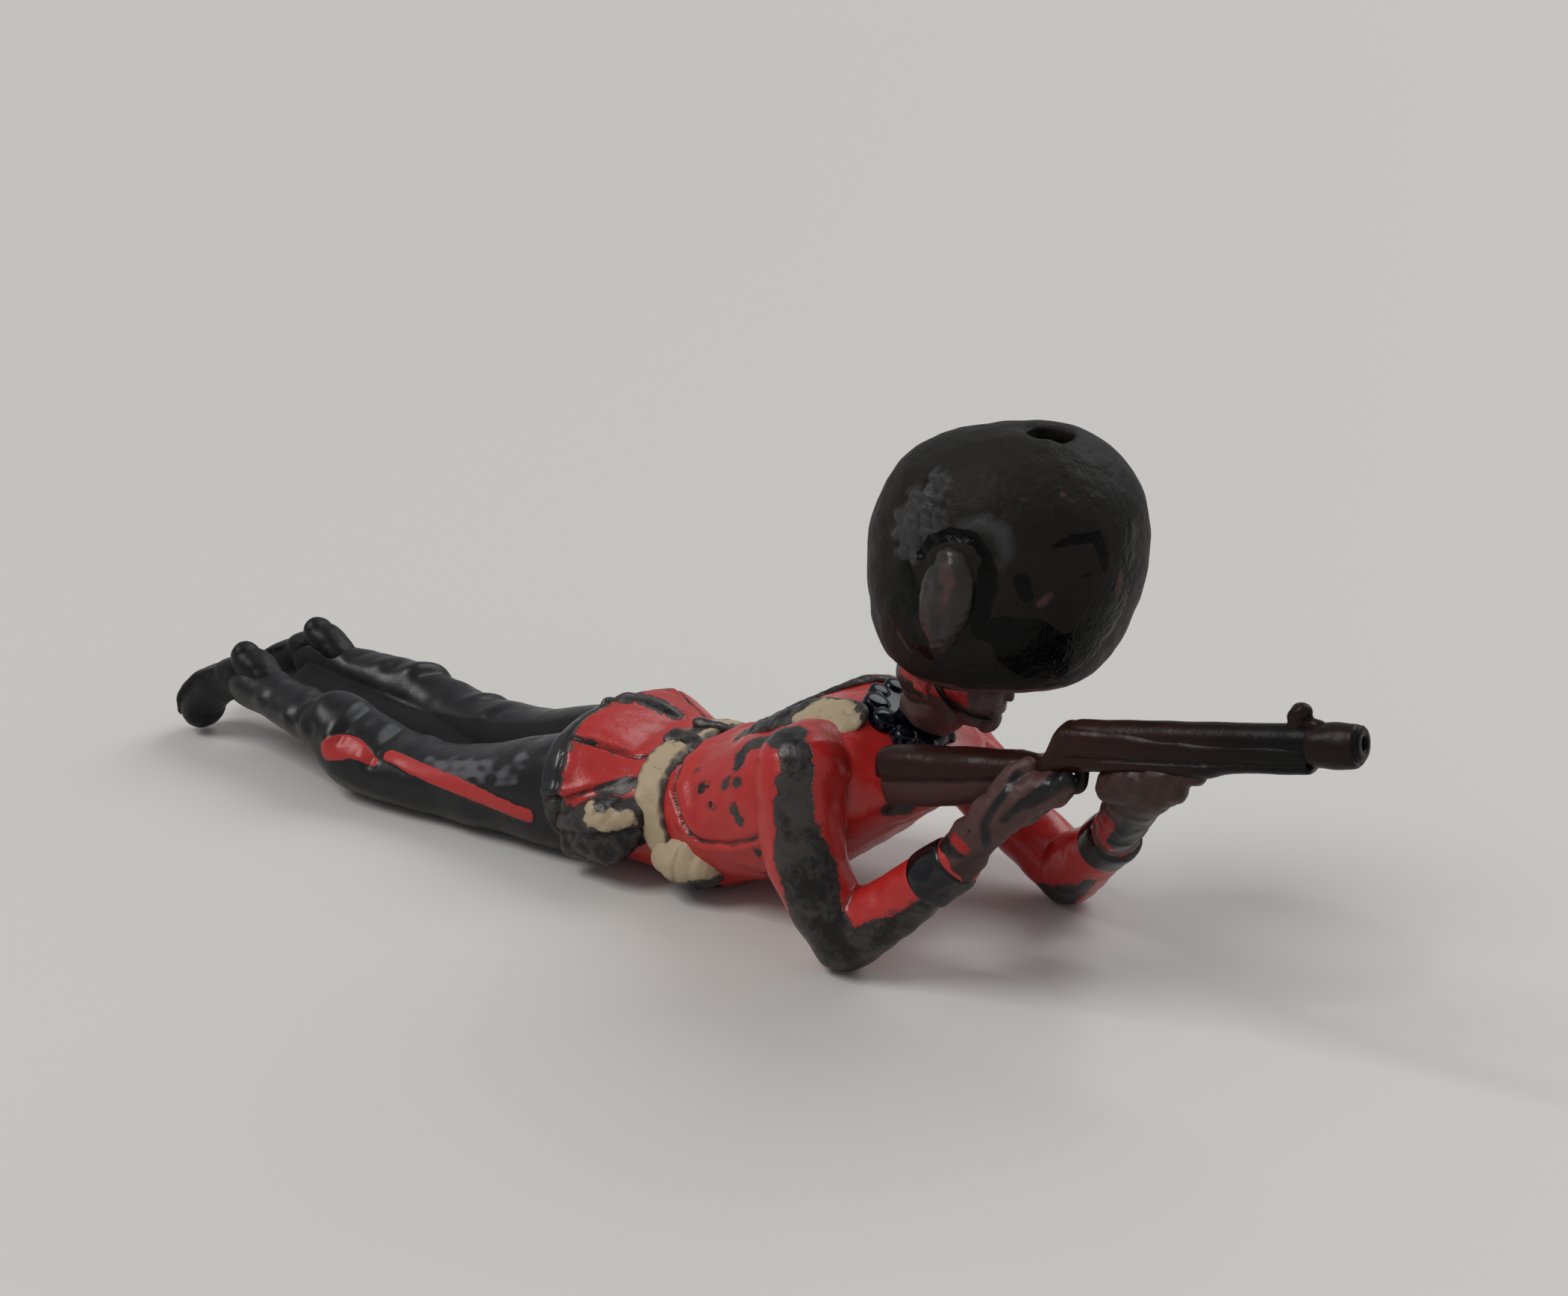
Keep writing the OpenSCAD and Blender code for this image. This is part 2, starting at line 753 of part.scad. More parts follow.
module hand_form(fore, palm, thumb, fingers) {
    limb(concat([fore[2]], on_stock(palm)), $fn = fine_facets);
    limb(on_stock(thumb), $fn = fine_facets);
    limb(on_stock(fingers), $fn = fine_facets);
}

module hand(fore, palm, thumb, fingers) {
    way = unit(place_of(fore[2]) - place_of(fore[0]));
    color(flesh) difference() {
        hand_form(fore, palm, thumb, fingers);
        beyond(place_of(fore[2]), -way);
        stock_form();
    }
}

module right_hand() {
    hand(right_forearm_table, right_palm_shares, right_thumb_shares, right_fingers_shares);
}

module left_hand() {
    hand(left_forearm_table, left_palm_shares, left_thumb_shares, left_fingers_shares);
}

// The bow of the trigger guard hangs under the breech, ahead of the right hand
guard_shares = [
    [0.395, -0.85, 0, 0.17],
    [0.412, -1.12, 0, 0.20],
    [0.430, -1.16, 0, 0.21],
    [0.442, -0.98, 0, 0.17],
    [0.446, -0.75, 0, 0.17],
];

module trigger_guard() {
    color(bare_metal) difference() {
        limb(on_stock(guard_shares), $fn = fine_facets);
        stock_form();
        hand_form(right_forearm_table, right_palm_shares, right_thumb_shares, right_fingers_shares);
    }
}

// The legs. Rows give the share of the leg's length, the share of half the distance between
// the knees, how far the ring is raised as a share of the knee's thickness, which of the leg's
// thicknesses it follows, shares of that for the half width and half height, squareness, and
// how far it leans back as a share of the slope of the hem. The left knee is slimmer and
// lies further back.
left_knee_share = 0.86;
function leg_thicknesses(side) = [thigh_d, side < 0 ? knee_d : knee_d * left_knee_share, shin_d];
leg_shares = [
    [0.00, 0.76, 0.00, 0, 0.50, 0.54, 2.2, 1.0],
    [0.10, 0.78, 0.00, 0, 0.50, 0.46, 2.2, 0.9],
    [0.24, 0.84, 0.00, 0, 0.46, 0.34, 2.2, 0.8],
    [0.38, 0.94, 0.00, 0, 0.43, 0.30, 2.1, 0.9],
    [0.47, 1.00, 0.00, 1, 0.45, 0.42, 2.1, 1.0],
    [0.53, 0.99, 0.05, 1, 0.43, 0.47, 2.1, 1.0],
    [0.60, 0.92, 0.33, 2, 0.50, 0.38, 2.1, 0.6],
    [0.70, 0.80, 0.45, 2, 0.44, 0.31, 2.1, 0.2],
    [0.80, 0.72, 0.49, 2, 0.42, 0.33, 2.1, 0.0],
];
knee_row = 5;
knee_share = leg_shares[knee_row][0];
left_knee_back_share = 0.045;
knee_t = knee_row / (len(leg_shares) - 1);
leg_steps = 8;
function leg_table(side) = [
    for (r = leg_shares)
        let (
            thickness = leg_thicknesses(side)[r[3]],
            back = side < 0 ? 0 : left_knee_back_share * max(1 - abs(r[0] / knee_share - 1), 0)
        )
        [
            hem_x - leg_l * (r[0] + back), side * knee_gap / 2 * r[1], knee_d * r[2] + thickness * r[5],
            thickness * r[4], thickness * r[5], r[6], hem_slope * r[7]
        ]
];
function leg_low(side) = side < 0 ? [-far, 0] : [0, 0];
function leg_high(side) = side < 0 ? [0, far] : [far, far];

module thigh(side) {
    color(black_paint)
        skin(rings(leg_table(side), knee_t, 0, leg_steps, 0, leg_low(side), leg_high(side)));
}

module shin(side) {
    color(black_paint)
        skin(rings(leg_table(side), 1, knee_t, leg_steps, 0, leg_low(side), leg_high(side)));
}

module right_thigh() {
    thigh(-1);
}

module left_thigh() {
    thigh(1);
}

module right_shin() {
    shin(-1);
}

module left_shin() {
    shin(1);
}

// A boot points its toe to the table, with its heel up behind the ankle. Rows give shares of
// the leg's length, of half the distance between the knees, of the knee's thickness for the
// height, and of the boot's thickness for the radius.
sole_shares = [
    [0.78, 0.73, 0.70, 0.36],
    [0.85, 0.72, 0.71, 0.36],
    [0.90, 0.70, 0.66, 0.42],
    [0.94, 0.70, 0.47, 0.46],
    [0.955, 0.70, 0.27, 0.46],
];
heel_shares = [
    [0.81, 0.72, 0.78, 0.30],
    [0.825, 0.72, 0.92, 0.31],
];
function boot_table(side, shares) = [
    for (r = shares)
        [hem_x - leg_l * r[0], side * knee_gap / 2 * r[1], knee_d * r[2], boot_d * r[3]]
];

module boot(side) {
    ankle = leg_table(side)[len(leg_shares) - 1];
    color(black_paint) difference() {
        union() {
            limb(boot_table(side, sole_shares));
            limb(boot_table(side, heel_shares));
        }
        beyond(place_of(ankle), [1, 0, 0]);
        below_table();
    }
}

module right_boot() {
    boot(-1);
}

module left_boot() {
    boot(1);
}

// The head. Places are shares of its length forward and up from the middle of the skull and of
// its width to the side, with the radius as a share of the width.
skull_place_shares = [0.56, 0, 0.68];
nape_shares = [-0.10, 0, -0.10];
skull = neck_foot + face_l * skull_place_shares;
function on_head(shares) = [
    for (r = shares)
        with_radius(skull + [face_l * r[0], face_w * r[1], face_l * r[2]], face_w * r[3])
];
jaw_shares = [[-0.22, 0.25, -0.14, 0.19], [0.05, 0.24, -0.32, 0.17], [0.28, 0.00, -0.38, 0.15]];
brow_shares = [[-0.16, 0.00, 0.02, 0.49], [0.06, 0.00, 0.02, 0.47], [0.14, 0.00, -0.06, 0.40]];
nose_shares = [[0.42, 0.00, 0.06, 0.07], [0.48, 0.00, -0.04, 0.08], [0.46, 0.00, -0.08, 0.09]];
ear_shares = [[-0.08, 0.48, 0.06, 0.06], [-0.12, 0.50, -0.02, 0.07], [-0.09, 0.47, -0.12, 0.05]];

module head_form() {
    limb(on_head(brow_shares));
    limb(on_head(nose_shares), $fn = fine_facets);
    for (side = [1, -1]) {
        limb(on_head([for (r = jaw_shares) [r[0], side * r[1], r[2], r[3]]]), $fn = fine_facets);
        limb(on_head([for (r = ear_shares) [r[0], side * r[1], r[2], r[3]]]), $fn = fine_facets);
    }
    hull() {
        on_neck() translate([0, 0, neck_base]) cylinder(d = neck_d, h = collar_slope, $fn = round_facets);
        ball(skull + face_l * nape_shares, neck_d / 2);
    }
}

module head() {
    color(flesh) difference() {
        head_form();
        cap_form();
    }
}

// The strap runs from the cap down both cheeks and under the lip
strap_shares = [
    [0.02, -0.50, 0.20, 0.07], [0.06, -0.50, -0.10, 0.07], [0.22, -0.40, -0.28, 0.07],
    [0.40, 0.00, -0.33, 0.07],
    [0.22, 0.40, -0.28, 0.07], [0.06, 0.50, -0.10, 0.07], [0.02, 0.50, 0.20, 0.07]
];

module chin_strap() {
    color(black_paint) difference() {
        limb(on_head(strap_shares), $fn = fine_facets);
        head_form();
        cap_form();
    }
}

// The plume stands on the right side of the cap. Rows give shares of the cap's length forward
// of its middle, of its height above the rim, and of the plume's width for the radius.
plume_place_shares = [0.08, -0.50, 0.565];
plume_top = cap_foot + [
    cap_l * plume_place_shares[0], cap_w * plume_place_shares[1], cap_h * plume_place_shares[2]
];
plume_shares = [[0, 0.0, 0.30], [-0.02, -0.3, 0.50], [-0.03, -0.65, 0.42], [-0.04, -1.0, 0.24]];

module plume() {
    color(bare_metal) difference() {
        limb([
            for (r = plume_shares)
                with_radius(plume_top + [cap_l * r[0], plume_w / 2 - plume_t, plume_h * r[1]], plume_w * r[2])
        ]);
        cap_form();
    }
}

tunic_body();
tunic_skirt();
waist_belt();
right_pouch();
left_pouch();
right_brace();
left_brace();
haversack();
collar();
neck_spigot();
head();
chin_strap();
bearskin_cap();
plume();
right_upper_arm();
left_upper_arm();
right_forearm();
left_forearm();
right_cuff();
left_cuff();
right_hand();
left_hand();
rifle_stock();
rifle_barrel();
nose_cap();
front_sight();
trigger_guard();
right_thigh();
left_thigh();
right_shin();
left_shin();
right_boot();
left_boot();
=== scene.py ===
"""A hollow-cast metal toy soldier in a bearskin cap, lying prone and aiming a rifle.

The figure is two castings, the body and the head, painted in enamel that has chipped down to
the dark metal. Sizes are in millimetres and become metres when a piece is made. X runs
forward along the figure to the muzzle, Y to its left and Z up from the table.
"""

import bpy
import numpy as np
from mathutils import Matrix


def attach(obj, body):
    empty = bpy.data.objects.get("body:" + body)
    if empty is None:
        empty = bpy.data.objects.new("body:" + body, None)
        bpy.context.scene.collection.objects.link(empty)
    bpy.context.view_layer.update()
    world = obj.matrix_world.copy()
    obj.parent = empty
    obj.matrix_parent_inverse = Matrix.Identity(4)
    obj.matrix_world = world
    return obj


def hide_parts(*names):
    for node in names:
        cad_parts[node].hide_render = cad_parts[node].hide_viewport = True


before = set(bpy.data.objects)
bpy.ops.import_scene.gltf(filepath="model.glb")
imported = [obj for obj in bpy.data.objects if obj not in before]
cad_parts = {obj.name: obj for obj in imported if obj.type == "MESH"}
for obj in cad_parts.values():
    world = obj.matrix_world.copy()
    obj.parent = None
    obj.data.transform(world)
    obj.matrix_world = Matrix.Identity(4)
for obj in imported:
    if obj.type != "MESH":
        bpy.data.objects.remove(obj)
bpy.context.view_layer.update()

# Camera, floor and light
# The figure is seen from ahead of its right side, from a little above. It lies on a plain
# pale floor under two broad soft lights, a small one for the glints, and an even sky.
view_turn = np.radians(35)
view_dip = np.radians(18.5)
image_w = 2101
image_h = 1736
focal_px = 2900
sensor_mm = 36
# The pixel at which the right elbow rests on the floor, that place, and its depth
elbow_px = np.array([1125, 1297])
elbow_rest = np.array([12.45, -7, 0])
elbow_depth = 103

to_right = np.array([np.cos(view_turn), np.sin(view_turn), 0])
ahead = np.array([
    -np.sin(view_turn) * np.cos(view_dip), np.cos(view_turn) * np.cos(view_dip), -np.sin(view_dip)
])
upward = np.cross(to_right, ahead)
offset = (elbow_px - np.array([image_w, image_h]) / 2) / focal_px
eye = elbow_rest - elbow_depth * (ahead + offset[0] * to_right - offset[1] * upward)

camera_data = bpy.data.cameras.new("camera")
camera_data.sensor_width = sensor_mm
camera_data.lens = sensor_mm * focal_px / image_w
camera_data.clip_start = 0.001
camera = bpy.data.objects.new("camera", camera_data)
bpy.context.collection.objects.link(camera)
stance = np.eye(4)
stance[:3] = np.stack([to_right, upward, -ahead, eye / 1000], -1)
camera.matrix_world = Matrix(stance.tolist())
bpy.context.scene.camera = camera
bpy.context.scene.view_settings.view_transform = "Standard"


def soft_sun(name, way, spread, strength, tint):
    """A sun lamp that shines from a direction and is spread over an angle in degrees."""
    lamp = bpy.data.lights.new(name, "SUN")
    lamp.angle = np.radians(spread)
    lamp.energy = strength
    lamp.color = tint
    holder = bpy.data.objects.new(name, lamp)
    bpy.context.collection.objects.link(holder)
    back = np.array(way) / np.linalg.norm(way)
    side = np.cross([0, 0, 1], back)
    side = side / np.linalg.norm(side)
    stance = np.eye(4)
    stance[:3, :3] = np.stack([side, np.cross(back, side), back], -1)
    holder.matrix_world = Matrix(stance.tolist())


soft_sun("key_light", (-0.45, -0.60, 1.0), 28, 1.20, (1.0, 0.985, 0.96))
soft_sun("back_light", (0.30, 0.95, 1.0), 44, 1.05, (0.97, 0.985, 1.0))
soft_sun("glint", (-0.55, -0.35, 1.0), 4, 0.16, (1.0, 1.0, 1.0))

world = bpy.data.worlds.new("sky")
bpy.context.scene.world = world
world.use_nodes = True
sky = world.node_tree.nodes["Background"]
sky.inputs["Color"].default_value = (0.93, 0.94, 0.96, 1)
sky.inputs["Strength"].default_value = 0.38

# Half the side of the floor, in metres
floor_half = 3
floor_mesh = bpy.data.meshes.new("floor")
floor_mesh.from_pydata(
    [(-floor_half, -floor_half, 0), (floor_half, -floor_half, 0),
     (floor_half, floor_half, 0), (-floor_half, floor_half, 0)],
    [], [(0, 1, 2, 3)],
)
floor = bpy.data.objects.new("floor", floor_mesh)
bpy.context.collection.objects.link(floor)
floor_paint = bpy.data.materials.new("floor")
floor_paint.use_nodes = True
floor_shader = floor_paint.node_tree.nodes["Principled BSDF"]
floor_shader.inputs["Base Color"].default_value = (0.60, 0.585, 0.56, 1)
floor_shader.inputs["Roughness"].default_value = 0.65
floor_mesh.materials.append(floor_paint)


# Tunic
# The scarlet tunic and both sleeves are one form of the body casting, so the arms run into the
# chest without a join. It is painted by hand in gloss enamel, which is worn down to the metal
# from the right shoulder to the elbow and along the under side of the forearm.
def smooth_rows(table, shares):
    """The Catmull-Rom curve of a table: between two rows it is the cubic that leaves each row
    along the line that joins the rows on both sides of it. Shares run from 0 to 1."""
    table = np.asarray(table, float)
    last = len(table) - 1
    k = np.minimum((shares * last).astype(int), last - 1)
    u = (shares * last - k)[:, None]
    a, b, c, d = table[np.maximum(k - 1, 0)], table[k], table[k + 1], table[np.minimum(k + 2, last)]
    return b + u * ((c - a) / 2 + u * ((2 * a - 5 * b + 4 * c - d) / 2 + u * (3 * b - 3 * c + d - a) / 2))


def oval(across, deep, squareness, sides):
    """Rings of a rounded box: half width times cosine and half depth times sine, each raised to
    the power two over the squareness with its sign kept."""
    angle = np.linspace(0, 2 * np.pi, sides, endpoint=False)
    power = 2 / squareness[:, None]
    return (
        across[:, None] * np.sign(np.cos(angle)) * np.abs(np.cos(angle)) ** power,
        deep[:, None] * np.sign(np.sin(angle)) * np.abs(np.sin(angle)) ** power,
    )


def turned(faces):
    """The same faces with their corners in the other order."""
    back = faces[:, ::-1].copy()
    triangles = faces[:, 2] == faces[:, 3]
    back[triangles] = faces[triangles][:, [1, 0, 2, 3]]
    return back


def skin(rings):
    """Quads between each ring and the next, with a point at the middle of each end ring. A
    triangle repeats its last corner. The faces are turned if their volume comes out negative."""
    count, sides, _ = rings.shape
    points = np.concatenate([rings.reshape(-1, 3), [rings[0].mean(0)], [rings[-1].mean(0)]])
    i, j = np.meshgrid(np.arange(count - 1), np.arange(sides), indexing="ij")
    near, far = i * sides, (i + 1) * sides
    j_next = (j + 1) % sides
    quads = np.stack([near + j, far + j, far + j_next, near + j_next], -1).reshape(-1, 4)
    j, j_next = np.arange(sides), (np.arange(sides) + 1) % sides
    foot = np.stack([j, j_next, np.full(sides, count * sides), np.full(sides, count * sides)], -1)
    top = np.full(sides, count * sides + 1)
    head = np.stack([(count - 1) * sides + j_next, (count - 1) * sides + j, top, top], -1)
    faces = np.concatenate([quads, foot, head])
    a, b, c, d = (points[faces[:, n]] for n in range(4))
    volume = (np.cross(b, c) * a).sum() + (np.cross(c, d) * a).sum()
    return points, faces if volume > 0 else turned(faces)


def trunk(table, steps, sides):
    """Rings that cross the figure. Rows give the middle, half the width, half the depth, the
    squareness, and how much each millimetre of height leans the ring back."""
    rows = smooth_rows(table, np.linspace(0, 1, steps))
    y, z = oval(rows[:, 3], rows[:, 4], rows[:, 5], sides)
    y, z = y + rows[:, 1, None], z + rows[:, 2, None]
    x = rows[:, 0, None] - rows[:, 6, None] * (z - waist_d / 2)
    return skin(np.stack([x, y, z], -1))


def limb(table, steps, sides, up=(0, 0, 1), squareness=2.0):
    """Rings square to a curve, closed by round ends. Rows give x, y, z, half the width across
    the up direction and half the thickness along it."""
    rows = smooth_rows(table, np.linspace(0, 1, steps))
    middle, across, deep = rows[:, :3], rows[:, 3], rows[:, 4]
    way = np.gradient(middle, axis=0)
    way /= np.linalg.norm(way, axis=1, keepdims=True)
    side = np.cross(up, way)
    side /= np.linalg.norm(side, axis=1, keepdims=True)
    dome = np.radians([80, 60, 40, 20])
    start_r, end_r = (across[0] + deep[0]) / 2, (across[-1] + deep[-1]) / 2
    start = middle[0] - way[0] * start_r * np.sin(dome)[:, None]
    end = middle[-1] + way[-1] * end_r * np.sin(dome[::-1])[:, None]
    middle = np.concatenate([start, middle, end])
    way = np.concatenate([np.repeat(way[:1], 4, 0), way, np.repeat(way[-1:], 4, 0)])
    side = np.concatenate([np.repeat(side[:1], 4, 0), side, np.repeat(side[-1:], 4, 0)])
    across = np.concatenate([across[0] * np.cos(dome), across, across[-1] * np.cos(dome[::-1])])
    deep = np.concatenate([deep[0] * np.cos(dome), deep, deep[-1] * np.cos(dome[::-1])])
    p, q = oval(across, deep, np.full(len(across), squareness), sides)
    top = np.cross(way, side)
    return skin(middle[:, None] + p[..., None] * side[:, None] + q[..., None] * top[:, None])


def fill_mesh(mesh, points, faces):
    """Puts points and faces into a mesh. A face with its last two corners alike is a triangle."""
    kept = np.ones(faces.shape, bool)
    kept[:, 3] = faces[:, 3] != faces[:, 2]
    sizes = kept.sum(1)
    corner_shade = faces[kept].astype(np.int32)
    mesh.vertices.add(len(points))
    mesh.loops.add(len(corner_shade))
    mesh.polygons.add(len(faces))
    mesh.vertices.foreach_set("co", np.ascontiguousarray(points, np.float32).ravel())
    mesh.loops.foreach_set("vertex_index", corner_shade)
    mesh.polygons.foreach_set("loop_start", (np.cumsum(sizes) - sizes).astype(np.int32))
    mesh.update(calc_edges=True)
    mesh.validate()


def melt(forms, cell, rounds):
    """Melts closed forms into one surface, as the metal runs together in the mould: voxels of
    the size of a cell, then rounds of smoothing that fill the corners between the forms."""
    shift = np.cumsum([0] + [len(points) for points, _ in forms])
    mesh = bpy.data.meshes.new("forms")
    fill_mesh(
        mesh,
        np.concatenate([points for points, _ in forms]),
        np.concatenate([faces + start for (_, faces), start in zip(forms, shift)]),
    )
    holder = bpy.data.objects.new("forms", mesh)
    bpy.context.collection.objects.link(holder)
    voxels = holder.modifiers.new("voxels", "REMESH")
    voxels.mode, voxels.voxel_size = "VOXEL", cell
    softer = holder.modifiers.new("softer", "SMOOTH")
    softer.factor, softer.iterations = 0.5, rounds
    made = holder.evaluated_get(bpy.context.evaluated_depsgraph_get()).to_mesh()
    points = np.empty(len(made.vertices) * 3, np.float32)
    made.vertices.foreach_get("co", points)
    corner_shade = np.empty(len(made.loops), np.int32)
    made.loops.foreach_get("vertex_index", corner_shade)
    holder.to_mesh_clear()
    bpy.data.objects.remove(holder)
    bpy.data.meshes.remove(mesh)
    return points.reshape(-1, 3).astype(float), corner_shade.reshape(-1, 4)


def spread(values, owners, count):
    """Adds rows of values up by their owner."""
    return np.stack([np.bincount(owners, values[:, k], count) for k in range(values.shape[1])], -1)


def normals(points, faces):
    """At each point, the sum of the normals of its faces, from the cross of their diagonals."""
    a, b, c, d = (points[faces[:, n]] for n in range(4))
    total = sum(spread(np.cross(c - a, d - b), faces[:, n], len(points)) for n in range(4))
    return total / np.maximum(np.linalg.norm(total, axis=1, keepdims=True), 1e-12)


def emboss(points, faces, relief):
    """Moves each point along its normal by its relief, and none below the table."""
    points = points + normals(points, faces) * relief[:, None]
    points[:, 2] = np.maximum(points[:, 2], 0)
    return points


def ridges(points, faces, reach=4):
    """How far each point stands above the mean of its neighbours, along its normal, in cells,
    averaged over a reach of neighbours: positive on an edge, negative in a corner."""
    pairs = np.concatenate([faces[:, [0, 1]], faces[:, [1, 2]], faces[:, [2, 3]], faces[:, [3, 0]]])
    pairs = pairs[pairs[:, 0] != pairs[:, 1]]
    pairs = np.concatenate([pairs, pairs[:, ::-1]])
    count = np.bincount(pairs[:, 0], minlength=len(points))[:, None]
    cell = np.linalg.norm(points[pairs[:, 0]] - points[pairs[:, 1]], axis=1).mean()
    mean = spread(points[pairs[:, 1]], pairs[:, 0], len(points)) / count
    height = ((points - mean) * normals(points, faces)).sum(1, keepdims=True) / cell
    for _ in range(reach):
        height = spread(height[pairs[:, 1]], pairs[:, 0], len(points)) / count
    return height[:, 0]


def lumps(points, size, seed):
    """Smooth unevenness between about -1 and 1: the sum of twelve sine waves, each of about the
    given length and in its own direction."""
    draw = np.random.default_rng(seed)
    ways = draw.normal(size=(12, 3))
    ways *= (2 * np.pi / (size * draw.uniform(0.7, 1.5, 12) * np.linalg.norm(ways, axis=1)))[:, None]
    return np.sin(points @ ways.T + draw.uniform(0, 2 * np.pi, 12)).sum(1) / 4


def within(points, chain):
    """How far each point lies inside a chain of balls joined by tapered rods, in millimetres.
    Rows of the chain give x, y, z and radius."""
    chain = np.asarray(chain, float)
    if len(chain) == 1:
        chain = np.repeat(chain, 2, 0)
    best = np.full(len(points), -1e3)
    for a, b in zip(chain[:-1], chain[1:]):
        rod = b[:3] - a[:3]
        share = np.clip((points - a[:3]) @ rod / max(rod @ rod, 1e-9), 0, 1)
        gap = np.linalg.norm(points - a[:3] - share[:, None] * rod, axis=1)
        best = np.maximum(best, a[3] + share * (b[3] - a[3]) - gap)
    return best


def within_any(points, chains):
    """How far each point lies inside the one of several chains that holds it best."""
    return np.maximum.reduce([within(points, chain) for chain in chains])


def bump_of(distance, width):
    """A bump of height 1: e to the power of minus the square of a distance over a width."""
    return np.exp(-(distance / width) ** 2)


class Wire:
    """A socket of a material. Sums and products of wires and numbers add their Math nodes."""

    def __init__(self, tree, socket=None):
        self.tree, self.socket = tree, socket

    def node(self, kind, settings, sockets, output=0):
        """Adds a node: its settings first, then the values or wires of its sockets."""
        made = self.tree.nodes.new(kind)
        for name, value in settings.items():
            setattr(made, name, value)
        for name, value in sockets.items():
            if isinstance(value, Wire):
                self.tree.links.new(value.socket, made.inputs[name])
            else:
                made.inputs[name].default_value = value
        return Wire(self.tree, made.outputs[output])

    def maths(self, operation, first, second):
        return self.node("ShaderNodeMath", {"operation": operation}, {0: first, 1: second})

    def __add__(self, other):
        return self.maths("ADD", self, other)

    def __radd__(self, other):
        return self.maths("ADD", other, self)

    def __sub__(self, other):
        return self.maths("SUBTRACT", self, other)

    def __rsub__(self, other):
        return self.maths("SUBTRACT", other, self)

    def __mul__(self, other):
        return self.maths("MULTIPLY", self, other)

    def __rmul__(self, other):
        return self.maths("MULTIPLY", other, self)

    def above(self, other):
        return self.maths("MAXIMUM", self, other)

    def step(self, steepness):
        """A soft step from 0 to 1 as the wire passes zero."""
        settings = {"operation": "MULTIPLY_ADD", "use_clamp": True}
        return self.node("ShaderNodeMath", settings, {0: self, 1: steepness, 2: 0.5})

    def blend(self, low, high):
        """A colour between two, by this wire."""
        return self.node("ShaderNodeMix", {"data_type": "RGBA"}, {0: self, 6: low, 7: high}, 2)


DARK_METAL = (0.0078, 0.0065, 0.0062, 1)
PALE_METAL = (0.050, 0.042, 0.040, 1)


def enamel(
    name, paint, shade, gloss, others=(), fleck=0.72, rag=0.25, wear=0.5, grain=0.010, specular=0.5,
):
    """Hand-painted enamel on cast metal: a colour and a shade blended by broad noise. The mark
    "bare" gives millimetres inside a bare patch, and two finer noises make its edge ragged by
    rag. Flecks are where a noise passes the threshold fleck, and ridges are rubbed by wear. Others
    are (mark, colour, roughness, steepness) of later coats, each blended in over its mark."""
    material = bpy.data.materials.new(name)
    material.use_nodes = True
    material["marks"] = [other[0] for other in others]
    tree = material.node_tree
    shader = tree.nodes["Principled BSDF"]
    start = Wire(tree)
    place = start.node("ShaderNodeTexCoord", {}, {}, "Object")

    def noise(size_mm, detail, roughness=0.5):
        sockets = {"Vector": place, "Scale": 1000 / size_mm, "Detail": detail, "Roughness": roughness}
        return start.node("ShaderNodeTexNoise", {}, sockets, "Fac")

    def mark(of):
        return start.node("ShaderNodeAttribute", {"attribute_name": of}, {}, "Fac")

    broad, middling, fine, tiny = noise(3.2, 3), noise(0.75, 4, 0.6), noise(0.28, 3), noise(0.09, 2)
    ridge = mark("ridge")
    ragged = (middling - 0.5) * (4 * rag) + (fine - 0.5) * (2 * rag)
    spots = (noise(0.95, 2) - fleck) * 3 + ragged * 0.3
    rubbed = ridge * (wear * 9) + (middling - 0.5) * 1.6 - 1.15 + wear * 0.4
    bare = (mark("bare") + ragged).above(spots).above(rubbed)
    uncovered = bare.step(14)
    colour = (broad * 1.5 - 0.25).step(1.2).blend((*shade, 1), (*paint, 1))
    roughness = gloss + (middling - 0.5) * 0.30 + (fine - 0.5) * 0.12
    for of, coat, coat_gloss, steepness in others:
        covered = (mark(of) + (middling - 0.5) * 0.22 + (fine - 0.5) * 0.10).step(steepness)
        colour = covered.blend(colour, (*coat, 1))
        roughness = roughness + covered * (coat_gloss - roughness)
    # Corners, where the ridge mark is negative, are darkened three quarters of the way to the dark metal:
    # painted shade.
    corner_shade = (ridge * -7 - 0.35 + (fine - 0.5) * 0.5).step(1.6)
    colour = (corner_shade * 0.75).blend(colour, DARK_METAL)
    rim = (0.10 - start.node("ShaderNodeMath", {"operation": "ABSOLUTE"}, {0: bare})).step(10)
    colour = (rim * 0.35).blend(colour, DARK_METAL)
    mottling = (broad - 0.5) * 1.7 + (middling - 0.5) * 1.8 + (fine - 0.5) * 1.0 + ridge * 5 - 0.10
    colour = uncovered.blend(colour, mottling.step(1.8).blend(DARK_METAL, PALE_METAL))
    roughness = roughness * (1 - uncovered) + uncovered * (0.36 + (middling - 0.5) * 0.45)
    height = (1 - uncovered) * 0.028 + fine * (grain * 1.6) + tiny * (grain * 0.6) + middling * (grain * 3)
    tree.links.new(colour.socket, shader.inputs["Base Color"])
    tree.links.new(roughness.socket, shader.inputs["Roughness"])
    tree.links.new((uncovered * 0.35).socket, shader.inputs["Metallic"])
    normal = start.node("ShaderNodeBump", {}, {"Height": height, "Distance": 0.001, "Strength": 1.0})
    tree.links.new(normal.socket, shader.inputs["Normal"])
    shader.inputs["Specular IOR Level"].default_value = specular
    return material


def piece(name, surface, material, nodes, marks=None, body="figure"):
    """Makes an object of a surface given in millimetres, with its marks as values on its points."""
    points, faces = surface
    mesh = bpy.data.meshes.new(name)
    fill_mesh(mesh, points / 1000, faces)
    mesh.shade_smooth()
    unmarked = {mark: np.full(len(points), -5.0) for mark in ["bare", *material["marks"]]}
    values = {**unmarked, "ridge": ridges(points, faces), **(marks or {})}
    for mark, value in values.items():
        mesh.attributes.new(mark, "FLOAT", "POINT").data.foreach_set("value", value.astype(np.float32))
    mesh.materials.append(material)
    made = bpy.data.objects.new(name, mesh)
    bpy.context.collection.objects.link(made)
    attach(made, body)
    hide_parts(*nodes)


